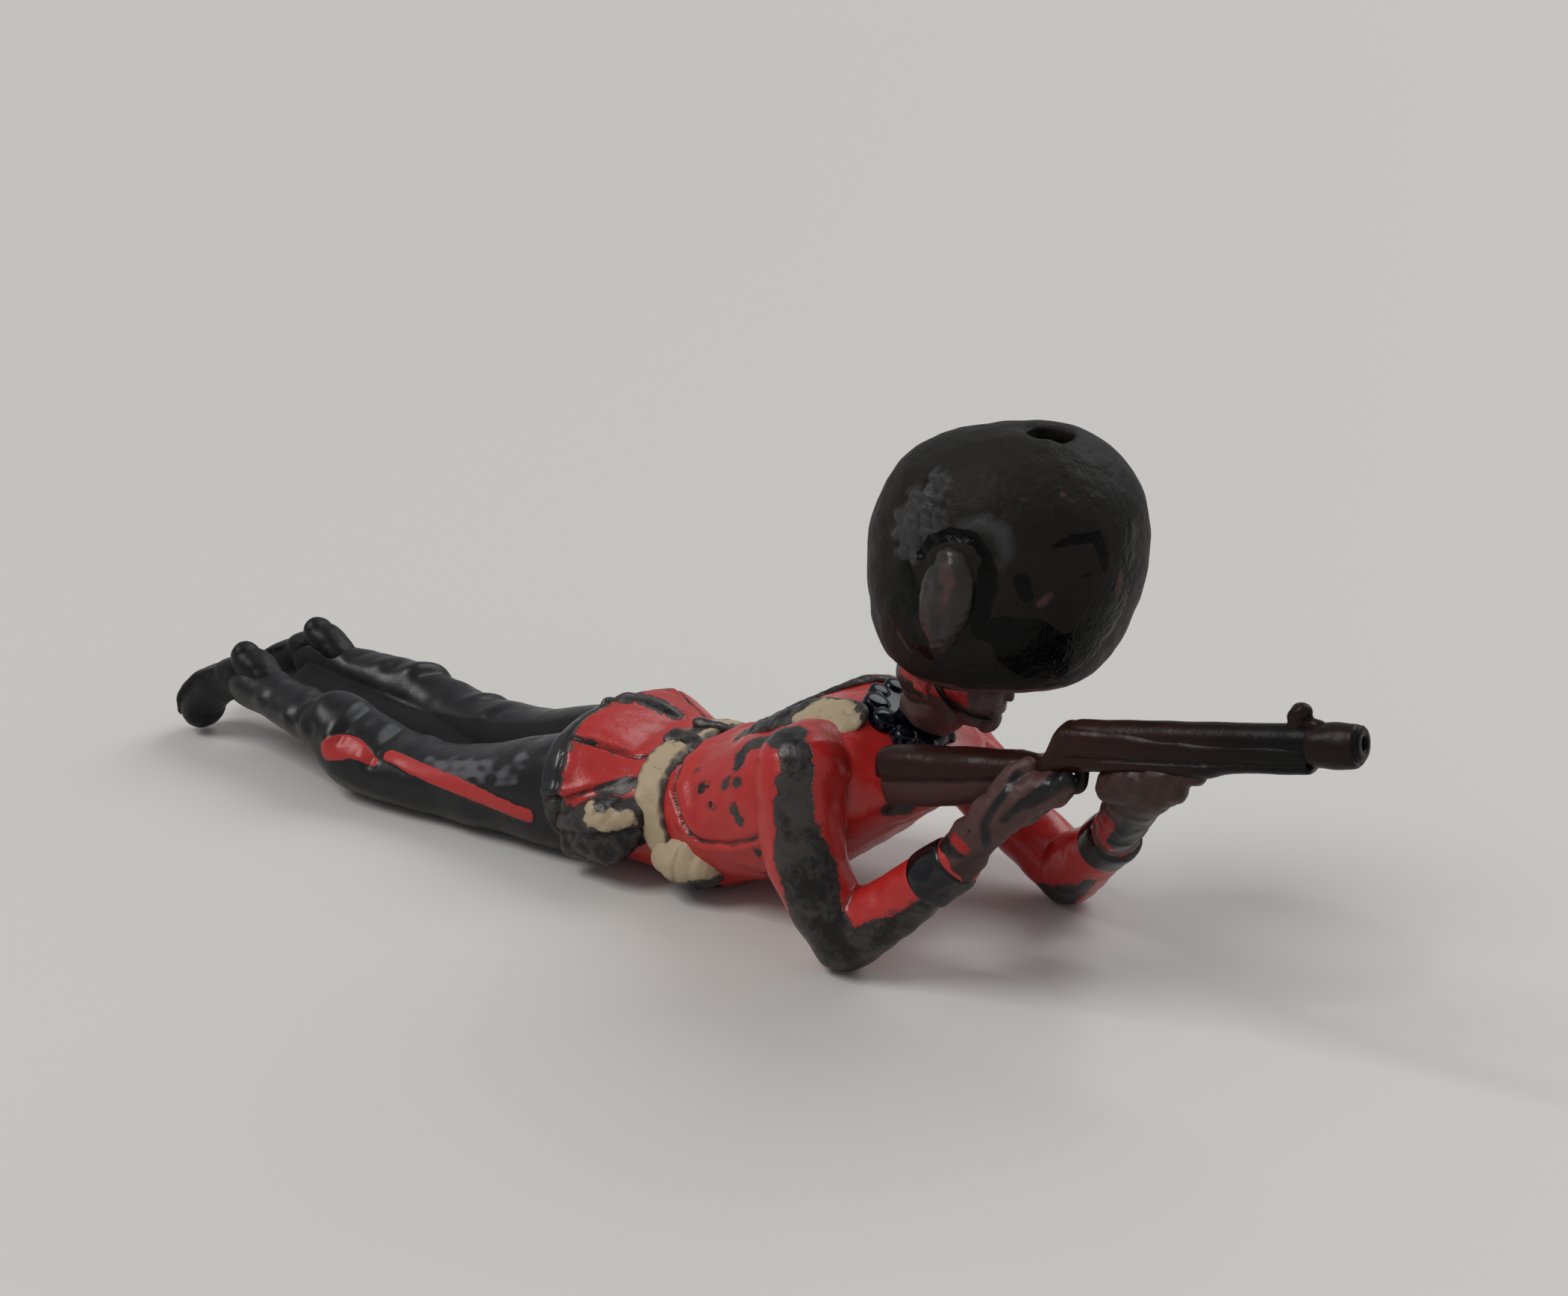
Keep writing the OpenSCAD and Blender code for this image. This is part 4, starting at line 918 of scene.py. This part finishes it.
# The comb stands proud above an edge along the butt, and the fore end below another edge
comb_edge = up + 1.15 * butt_h - 0.10 - 0.04 * along
on_butt = np.clip((8.2 - along) / 1.0, 0, 1)
relief = on_butt * (0.16 * np.clip(comb_edge / 0.12, 0, 1) - 0.10 * bump_of(comb_edge, 0.12))
on_fore = np.clip((along - 9.5) / 0.8, 0, 1)
fore_edge = up + 0.60 * butt_h
relief += on_fore * (0.09 * np.clip(-fore_edge / 0.12, 0, 1) - 0.10 * bump_of(fore_edge, 0.13))
relief += 0.025 * lumps(points, 2.2, 18) + 0.006 * lumps(points, 0.7, 19)
points = emboss(points, faces, relief)
dull = on_butt - 0.5 - np.clip(comb_edge, -1, 1) * 3
dark_end = (along - 15.0) / 4.5 + 0.10 * lumps(points, 2.5, 20)
stock_brown = enamel(
    "stock_enamel", (0.024, 0.0078, 0.0056), (0.012, 0.0050, 0.0042), 0.32,
    others=(("dull", (0.060, 0.0255, 0.0225), 0.50, 12), ("dark", (0.0030, 0.0026, 0.0026), 0.36, 0.5)),
    fleck=0.84, rag=0.2, wear=0.12, grain=0.008, specular=0.17,
)
piece(
    "rifle_stock", (points, faces), stock_brown, ["rifle_stock"],
    {"dull": dull, "dark": dark_end},
)

gun_black = enamel(
    "gun_enamel", (0.0032, 0.0027, 0.0027), (0.0070, 0.0052, 0.0050), 0.38,
    others=(("brown", (0.030, 0.0120, 0.0095), 0.30, 0.5),),
    fleck=0.86, rag=0.2, wear=0.10, grain=0.010, specular=0.14,
)


def turned_rod(profile, up, sides=56):
    """A round bar along the rifle. Rows of the profile give the distance from the butt and the
    radius. Its axis lies at one height."""
    profile = np.asarray(profile, float)
    angle = np.linspace(0, 2 * np.pi, sides, endpoint=False)
    along = np.repeat(profile[:, 0:1], sides, 1)
    rings = on_rifle(along, up + profile[:, 1:2] * np.sin(angle), profile[:, 1:2] * np.cos(angle))
    return skin(rings)


breech = rifle_l - barrel_l
barrel_profile = [
    [breech - 0.3, 0.45], [breech, 0.70],
    *[[breech + step, 0.75] for step in np.linspace(0.3, barrel_l - 0.8, 60)],
    [rifle_l - 0.12, 0.75], [rifle_l - 0.02, 0.66], [rifle_l, 0.36], [rifle_l - 0.1, 0.30],
    [rifle_l - 0.9, 0.28], [rifle_l - 1.0, 0.10],
]
points, faces = turned_rod(barrel_profile, -barrel_d / 2)
along = (points - rifle_foot) @ forward
points = emboss(points, faces, 0.012 * lumps(points, 1.8, 21) * (along < rifle_l - 0.6))
brown_end = 0.10 * lumps(points, 2.5, 22) + (15.0 - along) / 4.5
piece("barrel", (points, faces), gun_black, ["rifle_barrel"], {"brown": brown_end})

nose_u = 0.905 * rifle_l
nose_profile = [
    [nose_u - 0.1, 0.5], [nose_u, 0.86], [nose_u + 0.12, 0.94], [nose_u + 1.0, 0.95],
    [nose_u + 1.75, 0.93], [nose_u + 1.95, 0.88], [nose_u + 2.0, 0.76], [nose_u + 1.95, 0.60],
]
nose_profile = smooth_rows(nose_profile, np.linspace(0, 1, 50))
points, faces = turned_rod(nose_profile, -barrel_d / 2 - 0.12)
points = emboss(points, faces, 0.03 * lumps(points, 1.1, 23))
piece(
    "nose_cap", (points, faces), gun_black, ["nose_cap"],
    {"brown": np.full(len(points), -0.3)},
)

sight_u = nose_u - 0.4
thin_cell = 0.06
# The foot of the blade, its head, and the slope ahead of it. Rows give the places along and
# above the barrel's top, half the width and half the thickness
sight_forms = [
    [[-0.25, -0.25, 0.44, 0.40], [0.05, 0.30, 0.40, 0.36]],
    [[-0.10, 0.45, 0.42, 0.40], [0.15, 0.50, 0.42, 0.38]],
    [[0.35, 0.05, 0.34, 0.30], [0.80, -0.15, 0.30, 0.25]],
]
points, faces = melt([
    limb([[*on_rifle(sight_u + u, v, 0), wide, deep] for u, v, wide, deep in rows], 8, 24, (0, 1, 0))
    for rows in sight_forms
], thin_cell, rounds=2)
points = emboss(points, faces, 0.05 * lumps(points, 0.7, 38))
piece(
    "front_sight", (points, faces), gun_black, ["front_sight"],
    {"brown": np.full(len(points), -0.1)},
)

hand_d = 1.9


def on_stock(chain):
    """Rows of a limb from shares of the rifle's length, of the butt's height, of the stock's
    thickness, and of a hand's depth."""
    return [
        [*on_rifle(rifle_l * u, butt_h * v, stock_t * w), hand_d * r, hand_d * r]
        for u, v, w, r in chain
    ]


guard_shares = [
    [0.395, -0.85, 0, 0.17], [0.412, -1.12, 0, 0.20], [0.430, -1.16, 0, 0.21],
    [0.442, -0.98, 0, 0.17], [0.446, -0.75, 0, 0.17],
]
points, faces = melt([limb(on_stock(guard_shares), 24, 24, (0, 1, 0))], thin_cell, rounds=2)
piece(
    "trigger_guard", (points, faces), gun_black, ["trigger_guard"],
    {"brown": np.full(len(points), -0.3)},
)


# Hands
# The hands are cast with the stock they grip, so the metal runs from the wrists into it. Dull
# flesh paint is left between dark lines, and black and red run over from the cuffs.
flesh = enamel(
    "flesh_enamel", (0.076, 0.035, 0.031), (0.033, 0.017, 0.015), 0.48,
    others=(
        ("black", (0.010, 0.009, 0.009), 0.28, 6), ("red", (0.30, 0.016, 0.014), 0.32, 12),
        ("brown", (0.040, 0.0175, 0.0150), 0.38, 3),
    ),
    fleck=0.74, rag=0.24, wear=0.30, grain=0.014, specular=0.28,
)
# Shares as above: the palm first, which starts at the wrist, and then the fingers and thumb
hand_forms = {
    "right": (right_wrist, [
        [
            [0.235, -1.92, -0.70, 0.56], [0.300, -1.45, -0.66, 0.58], [0.350, -1.22, -0.55, 0.50],
            [0.405, -1.13, -0.42, 0.42],
        ],
        [[0.290, -1.20, -0.70, 0.32], [0.325, -0.86, -0.56, 0.26], [0.350, -0.74, -0.40, 0.20]],
        [[0.290, -1.62, -0.40, 0.42], [0.320, -1.55, 0.35, 0.40], [0.345, -1.18, 0.72, 0.34]],
        [[0.330, -1.42, -0.62, 0.30], [0.375, -1.22, -0.62, 0.28], [0.425, -1.02, -0.50, 0.32]],
    ]),
    "left": (left_wrist, [
        [
            [0.430, -2.30, 1.85, 0.58], [0.490, -1.72, 1.20, 0.66], [0.540, -1.36, 0.45, 0.66],
            [0.595, -1.20, -0.05, 0.48], [0.640, -1.10, -0.25, 0.34],
        ],
        [
            [0.505, -1.15, -0.05, 0.44], [0.560, -1.02, -0.15, 0.44], [0.620, -0.95, -0.18, 0.38],
            [0.680, -0.88, -0.15, 0.26],
        ],
        [[0.540, -1.40, 0.60, 0.44], [0.580, -1.05, 0.85, 0.38], [0.610, -0.72, 0.78, 0.30]],
    ]),
}
hand_paint = {
    "right": {
        "black": [
            [
                [20.2, -6.8, 8.0, 0.22], [20.1, -7.2, 9.4, 0.26], [20.9, -6.8, 11.0, 0.20],
                [21.2, -6.2, 11.7, 0.18],
            ],
            [
                [21.0, -7.0, 9.7, 0.20], [21.5, -7.0, 10.2, 0.30], [22.8, -6.3, 11.4, 0.40],
                [23.3, -5.7, 11.9, 0.70],
            ],
            [[18.0, -6.7, 7.6, 0.45], [18.8, -7.0, 7.7, 0.35]],
        ],
        "red": [[[18.6, -7.1, 8.2, 0.30], [19.2, -7.2, 7.9, 0.28]]],
        "brown": [[[19.0, -6.9, 6.3, 0.9], [19.8, -6.8, 7.2, 0.6]]],
    },
    "left": {
        "black": [
            [
                [24.2, -1.9, 6.6, 1.0], [25.6, -3.3, 8.6, 1.1], [26.3, -5.0, 10.6, 0.7],
                [27.1, -5.5, 11.1, 0.4],
            ],
            [[27.6, -5.4, 12.8, 0.4], [28.6, -5.7, 12.6, 0.3], [30.0, -5.6, 13.1, 0.5]],
        ],
        "red": [[[24.2, -3.2, 9.1, 0.45], [23.3, -2.2, 8.1, 0.60], [23.4, -1.5, 7.1, 0.55]]],
        "brown": [[[25.2, -5.2, 11.0, 1.0], [26.4, -5.5, 12.0, 1.5], [28.0, -5.6, 12.8, 1.5]]],
    },
}
for side_name, (wrist, chains) in hand_forms.items():
    palm, *fingers = [on_stock(chain) for chain in chains]
    forms = [[[*wrist, 1.12, 1.08], *palm], *fingers]
    points, faces = melt([limb(rows, 24, 36, (0, 1, 0.2)) for rows in forms], fine_cell, rounds=3)
    along = (points - rifle_foot) @ forward
    up = (points - rifle_foot) @ raised
    knuckles = np.cos(2 * np.pi * (along - 0.4 * up) / 0.78) * (up > -1.9 * butt_h)
    relief = 0.02 * knuckles + 0.06 * lumps(points, 1.3, 24) + 0.02 * lumps(points, 0.6, 25)
    points = emboss(points, faces, relief)
    marks = {coat: within_any(points, strokes) for coat, strokes in hand_paint[side_name].items()}
    piece(f"{side_name}_hand", (points, faces), flesh, [f"{side_name}_hand"], marks)


# Collar
# A stand collar of dark blue gloss enamel, laid on so thickly that it has run into beads. Its
# bore takes the spigot of the head.
neck_lean = np.radians(27)
neck_foot = np.array([11.45, 0, 9.68])
neck_way = np.array([np.sin(neck_lean), 0, np.cos(neck_lean)])
neck_front = np.array([np.cos(neck_lean), 0, -np.sin(neck_lean)])
collar_h = 1.5


def on_neck(up, angle, radius):
    """A place by its height up the neck, its angle from the front to the left and its radius."""
    outward = np.cos(angle) * neck_front + np.sin(angle) * np.array([0, 1, 0])
    return neck_foot + up * neck_way + radius * outward


around = np.linspace(0, 2 * np.pi, 64, endpoint=False)[:, None]
stand = [
    [0.05, 1.0], [0.05, 2.15], [0.30, 2.32], [0.80, 2.20], [1.15, 2.0], [1.25, 1.7], [1.20, 1.0],
]
stand = smooth_rows(stand, np.linspace(0, 1, 30))
rings = np.stack([on_neck(up, around, radius) for up, radius in stand])
beads = []
# The angle from the front in degrees, the height and the radius of each bead
for angle, up, size in (
    (-168, 1.00, 0.52), (-138, 0.98, 0.64), (-104, 0.88, 0.68), (-66, 0.76, 0.64), (-28, 0.60, 0.52),
    (25, 0.60, 0.50), (75, 0.72, 0.60), (120, 0.85, 0.62), (155, 0.95, 0.56),
):
    place = on_neck(up, np.radians(angle), 1.98)
    low = place - 0.15 * neck_way
    high = place + 0.15 * neck_way
    beads.append(limb([[*low, size, size], [*high, size, size]], 6, 28, (1, 0, 0)))
points, faces = melt([skin(rings), *beads], fine_cell, rounds=3)
# Whatever rises near the collar's full height is flattened, by a hyperbolic tangent
height = (points - neck_foot) @ neck_way
over = np.maximum(height - collar_h + 0.35, 0)
points += (0.30 * np.tanh(over / 0.30) - over)[:, None] * neck_way
collar_blue = enamel(
    "collar_enamel", (0.0022, 0.0028, 0.0080), (0.0018, 0.0022, 0.0050), 0.12,
    fleck=0.95, rag=0.10, wear=0.0, grain=0.0015, specular=0.25,
)
piece("collar", (points, faces), collar_blue, ["collar"])


# Head
# The head is a casting of its own, with a plain face, a neck and a spigot that turns in the
# collar. Its flesh paint is worn, and red shows under the edge of the cap on the right.
neck_base = 1.6
skull = np.array([14.42, 0, 13.28])


def head_part(rows, up=(0, 1, 0), sides=36):
    """A limb whose places are given from the middle of the skull."""
    rows = np.array(rows, float)
    rows[:, :3] += skull
    return limb(rows, 20, sides, up)


# The skull, the jaw, the neck, the nose, both lips and the brow
forms = [
    head_part([[-0.9, 0, 0.1, 2.15, 2.2], [0.2, 0, 0.1, 2.25, 2.2], [0.9, 0, 0, 2.0, 1.95]]),
    head_part([[0.2, 0, -0.8, 1.65, 1.7], [1.2, 0, -1.5, 1.15, 1.2], [1.75, 0, -1.95, 0.70, 0.62]]),
    head_part([[-0.3, 0, -1.0, 1.65, 1.8], [-1.35, 0, -2.0, 1.6, 1.6]]),
    head_part([
        [2.55, 0, 0.25, 0.20, 0.22], [2.85, 0, -0.35, 0.26, 0.26], [2.80, 0, -0.62, 0.34, 0.25],
    ], sides=24),
    head_part([
        [2.30, -0.55, -1.12, 0.16, 0.16], [2.50, 0, -1.08, 0.20, 0.16],
        [2.30, 0.55, -1.12, 0.16, 0.16],
    ], (0, 0, 1), 20),
    head_part([
        [2.28, -0.50, -1.38, 0.17, 0.15], [2.42, 0, -1.42, 0.20, 0.17],
        [2.28, 0.50, -1.38, 0.17, 0.15],
    ], (0, 0, 1), 20),
    head_part([
        [2.15, -1.25, 0.42, 0.22, 0.20], [2.55, -0.5, 0.55, 0.22, 0.20],
        [2.55, 0.5, 0.55, 0.22, 0.20], [2.15, 1.25, 0.42, 0.22, 0.20],
    ], (0, 0, 1), 20),
]
# An ear, a cheek and an eye on each side
for side in (-1, 1):
    forms += [
        head_part([
            [-0.45, side * 2.30, 0.35, 0.20, 0.34], [-0.60, side * 2.42, -0.1, 0.2, 0.38],
            [-0.45, side * 2.30, -0.6, 0.18, 0.26],
        ], (1, 0, 0), 24),
        head_part([
            [1.3, side * 1.25, -0.55, 0.62, 0.6], [1.6, side * 1.05, -0.75, 0.55, 0.5],
        ], sides=28),
        head_part([
            [2.25, side * 0.80, 0.05, 0.24, 0.22], [2.28, side * 0.75, 0.03, 0.24, 0.22],
        ], sides=20),
    ]
points, faces = melt(forms, cell=0.07, rounds=3)
# The neck is cut flat above the collar
height = (points - neck_foot) @ neck_way
points += np.maximum(neck_base - height, 0)[:, None] * neck_way
local = points - skull
relief = 0.03 * lumps(points, 1.2, 26) + 0.015 * lumps(points, 0.5, 27)
for side in (-1, 1):
    socket = np.linalg.norm((local - [2.35, side * 0.85, 0.12]) / [1, 1.1, 0.8], axis=1)
    relief -= 0.12 * bump_of(socket - 0.36, 0.14)
points = emboss(points, faces, relief)
head_paint = enamel(
    "face_enamel", (0.078, 0.039, 0.035), (0.038, 0.021, 0.019), 0.46,
    others=(("red", (0.40, 0.020, 0.017), 0.36, 14), ("hair", (0.016, 0.010, 0.009), 0.4, 14)),
    fleck=0.76, rag=0.2, wear=0.20, grain=0.012,
)
local = points - skull
red = np.minimum(local[:, 2] + 0.50 + 0.25 * local[:, 0], 1.9 - np.abs(local[:, 0] + 0.3))
red = np.where(local[:, 1] < -1, red, -5)
# Hair lies behind the ears, above the nape and outside the red, and its paint draws the eyes
hair = np.minimum.reduce([-0.35 - local[:, 0], local[:, 2] + 0.7, 0.1 - red])
eyes = []
for side in (-1, 1):
    eyes += [
        [[2.5, side * 0.78, 0.05, 0.13]],
        [[2.4, side * 1.25, 0.38, 0.07], [2.75, side * 0.42, 0.46, 0.07]],
    ]
piece(
    "head", (points, faces), head_paint, ["head"],
    {"red": red, "hair": np.maximum(hair, within_any(local, eyes)), "bare": np.full(len(points), -0.45)},
    "head",
)

spigot_r = 0.74
spigot_rows = [[*on_neck(up, 0, 0), spigot_r, spigot_r] for up in (0.15, 1.7)]
points, faces = limb(spigot_rows, 12, 40, (0, 1, 0))
height = (points - neck_foot) @ neck_way
points += np.maximum(0.12 - height, 0)[:, None] * neck_way
piece(
    "neck_spigot", (points, faces), gun_black, ["neck_spigot"],
    {"brown": np.full(len(points), -1.0)}, "head",
)


# Chin strap
# A thin strap comes down both cheeks from the cap and passes under the lower lip. It is cast
# with the head and painted black.
rows = np.array([
    [0.10, -2.38, 1.0, 0.08, 0.16], [0.30, -2.32, 0.0, 0.08, 0.17], [0.95, -1.80, -1.1, 0.08, 0.17],
    [1.75, -0.92, -1.72, 0.08, 0.17], [2.15, 0, -1.83, 0.08, 0.17], [1.75, 0.92, -1.72, 0.08, 0.17],
    [0.95, 1.80, -1.1, 0.08, 0.17], [0.30, 2.32, 0.0, 0.08, 0.17], [0.10, 2.38, 1.0, 0.08, 0.16],
])
rows[:, :3] += skull
points, faces = melt([limb(rows, 90, 20, (1, 0, 0.35))], thin_cell, rounds=2)
piece("chin_strap", (points, faces), black, ["chin_strap"], body="head")


# Bearskin cap
# A tall fur cap, cast hollow with the head, with a ragged hole in the crown where the metal was
# poured back out. Its dull black has worn brown, gloss black is left in patches round the plume
# and low in front, and the top of the right side is blistered and grey at the back.
cap_h = 12.3
cap_l = 13.1
cap_w = 11.8
cap_foot = np.array([16.3, 0, 13.49])
cap_lean = cap_l / 12
foot_tip = 1
crown_tip = -5
# Share of the height, of the length and width, of the lean, and of the width to the right
cap_shares = np.array([
    [0.012, 0.10, 0.10, -0.05, 0], [0.00, 0.40, 0.34, -0.05, 0], [0.03, 0.60, 0.56, -0.05, 0],
    [0.10, 0.78, 0.76, -0.05, 0], [0.25, 0.92, 0.93, 0.15, 0], [0.45, 1.00, 1.00, 0.45, 0],
    [0.62, 0.99, 0.98, 0.70, 0], [0.78, 0.88, 0.87, 0.95, 0], [0.90, 0.66, 0.66, 1.30, 0],
    [0.965, 0.42, 0.43, 1.80, 0.02], [0.988, 0.25, 0.27, 2.30, 0.05], [0.985, 0.175, 0.185, 2.50, 0.06],
    [0.95, 0.165, 0.175, 2.55, 0.06], [0.86, 0.18, 0.20, 2.55, 0.06], [0.80, 0.05, 0.05, 2.55, 0.06],
])
steps, sides = 170, 180
share = np.linspace(0, 1, steps)
rows = smooth_rows(cap_shares, share)
p, q = oval(cap_l / 2 * rows[:, 1], cap_w / 2 * rows[:, 2], np.full(steps, 2.05), sides)
tilt = np.radians(foot_tip + (crown_tip - foot_tip) * np.clip(share * 1.4, 0, 1))[:, None]
rings = cap_foot + np.stack([
    cap_lean * rows[:, 3, None] + p * np.cos(tilt), q - cap_w / 2 * rows[:, 4, None],
    cap_h * rows[:, 0, None] + p * np.sin(tilt),
], -1)
points, faces = skin(rings)
# From 0 in the vent to 1 on the outer face, by how far out each point is in a spheroid
from_middle = np.linalg.norm((points - cap_foot - [1.5, 0, 6]) / [6.5, 5.9, 6.6], axis=1)
outside = np.clip((from_middle - 0.8) / 0.1, 0, 1)
blistered = [
    [15.7, -4.5, 23.7, 0.6], [15.35, -5.0, 22.85, 1.0], [14.7, -5.2, 21.75, 1.1], [16.1, -5.5, 21.9, 0.8],
    [15.1, -5.55, 20.9, 0.8],
]
blisters = np.clip(within(points, blistered) / 0.4 + 0.5, 0, 1)
groove = [
    [15.7, -5.7, 20.7, 0], [16.2, -5.65, 21.4, 0], [17.2, -5.6, 21.85, 0], [18.3, -5.5, 21.8, 0],
    [18.95, -5.5, 21.1, 0], [19.25, -5.5, 19.8, 0], [18.9, -5.5, 18.8, 0],
]
relief = 0.09 * lumps(points, 6.0, 29) + 0.030 * lumps(points, 1.8, 30) + 0.012 * lumps(points, 0.8, 31)
relief += 0.15 * blisters * lumps(points, 0.62, 34) - 0.14 * bump_of(within(points, groove), 0.25)
# The rim of the vent is ragged
vent = rings[-5].mean(0)
from_vent = np.linalg.norm((points - vent) * [1, 1, 0.3], axis=1)
ragged_rim = bump_of(from_vent - 1.15, 0.45) * lumps(points * [1, 1, 0.2], 1.1, 32)
points = emboss(points, faces, relief * outside + 0.16 * ragged_rim)
grey_arc = [
    [17.6, -5.5, 22.15, 0.22], [18.7, -5.2, 22.5, 0.32], [19.45, -5.1, 22.1, 0.34],
    [19.75, -5.2, 21.3, 0.26], [19.55, -5.35, 20.7, 0.12],
]
glossy_patches = (
    [
        [14.9, -5.6, 19.8, 0.50], [15.1, -5.7, 18.8, 0.80], [14.4, -5.35, 17.5, 0.75],
        [15.1, -5.4, 16.7, 0.6], [15.9, -5.3, 16.0, 0.35],
    ],
    [[a, b, c, 0.30] for a, b, c, _ in groove],
    [[19.05, -5.6, 20.5, 0.45], [18.95, -5.6, 19.5, 0.42], [18.7, -5.6, 18.3, 0.5]],
    [[20.4, -5.0, 20.1, 0.40], [20.6, -4.9, 19.4, 0.30]],
    [
        [18.8, -5.4, 17.7, 0.55], [19.7, -5.0, 17.6, 0.9], [20.5, -4.5, 16.9, 1.5],
        [21.1, -3.4, 16.1, 1.4], [21.9, -2.4, 16.5, 1.2], [22.6, -1.7, 17.6, 1.2],
        [23.1, -1.3, 18.7, 0.9], [23.4, -0.9, 20.3, 0.6], [23.3, -0.5, 22.0, 0.4],
    ],
    [
        [21.4, -4.1, 21.6, 0.16], [22.0, -3.6, 21.9, 0.20], [22.7, -2.6, 21.9, 0.28],
        [22.95, -2.4, 21.2, 0.30], [23.0, -2.3, 20.5, 0.22],
    ],
    [[22.6, -3.0, 20.3, 0.16], [21.6, -4.0, 20.2, 0.14]],
)
blistered_grey = np.minimum(within(points, blistered), 0.5) * 0.8 + 0.35 * lumps(points, 0.62, 34)
scraped = np.maximum(blistered_grey - 0.10, within(points, grey_arc))
# Flesh paint from the face shows in a line along the rim and in a few specks
rim_height = 14.05 + 0.03 * (points[:, 0] - cap_foot[0])
rim_line = 0.20 + 0.10 * lumps(points, 1.2, 39) - np.abs(points[:, 2] - rim_height)
speck_places = (
    [[21.2, -3.1, 23.7, 0.20]],
    [[23.4, -1.3, 19.9, 0.28], [23.2, -1.4, 19.1, 0.28]],
    [[21.4, -4.3, 19.5, 0.22], [21.1, -4.5, 19.0, 0.25]],
    [[14.2, -5.1, 16.6, 0.16], [14.8, -5.0, 15.8, 0.14]],
    [[19.9, -4.2, 23.5, 0.15]],
    [[19.3, -5.1, 17.0, 0.12]],
)
pink = np.maximum(rim_line, within_any(points, speck_places) - 0.08)
bearskin = enamel(
    "bearskin_enamel", (0.0118, 0.0108, 0.0098), (0.0026, 0.0025, 0.0024), 0.52,
    others=(
        ("scraped", (0.043, 0.043, 0.044), 0.28, 2.2), ("glossy", (0.0004, 0.0004, 0.0005), 0.16, 18),
        ("pink", (0.075, 0.037, 0.033), 0.5, 6),
    ),
    fleck=0.90, rag=0.2, wear=0.05, grain=0.030, specular=0.12,
)
piece(
    "bearskin_cap", (points, faces), bearskin, ["bearskin_cap"],
    {"glossy": within_any(points, glossy_patches), "scraped": scraped, "pink": pink}, "head",
)


# Plume
# A short plume is cast against the right side of the cap. Its paint is worn to a dark brown,
# with a little pink left.
plume_rows = [
    [17.35, -5.75, 20.75, 0.78, 0.52], [17.38, -5.88, 20.1, 1.18, 0.76], [17.15, -5.90, 19.1, 1.30, 0.78],
    [16.85, -5.75, 17.9, 1.10, 0.68], [16.60, -5.45, 16.9, 0.80, 0.48], [16.55, -5.25, 16.5, 0.50, 0.35],
]
points, faces = melt([limb(plume_rows, 40, 40, (0, 1, 0))], fine_cell, rounds=3)
relief = 0.06 * lumps(points * [1, 1, 0.5], 1.0, 35) + 0.02 * lumps(points, 0.5, 36)
points = emboss(points, faces, relief)
plume_paint = enamel(
    "plume_enamel", (0.027, 0.0215, 0.0212), (0.012, 0.0098, 0.0098), 0.30,
    others=(("pink", (0.070, 0.036, 0.034), 0.34, 2.5),),
    fleck=0.82, rag=0.3, wear=0.20, grain=0.010, specular=0.3,
)
pink = within(points, [[17.3, -6.7, 20.6, 0.35], [17.7, -6.7, 19.9, 0.40], [17.2, -6.7, 18.2, 0.15]])
piece(
    "plume", (points, faces), plume_paint, ["plume"],
    {"pink": pink * 0.8 + 0.18 * lumps(points, 0.8, 40) - 0.12}, "head",
)
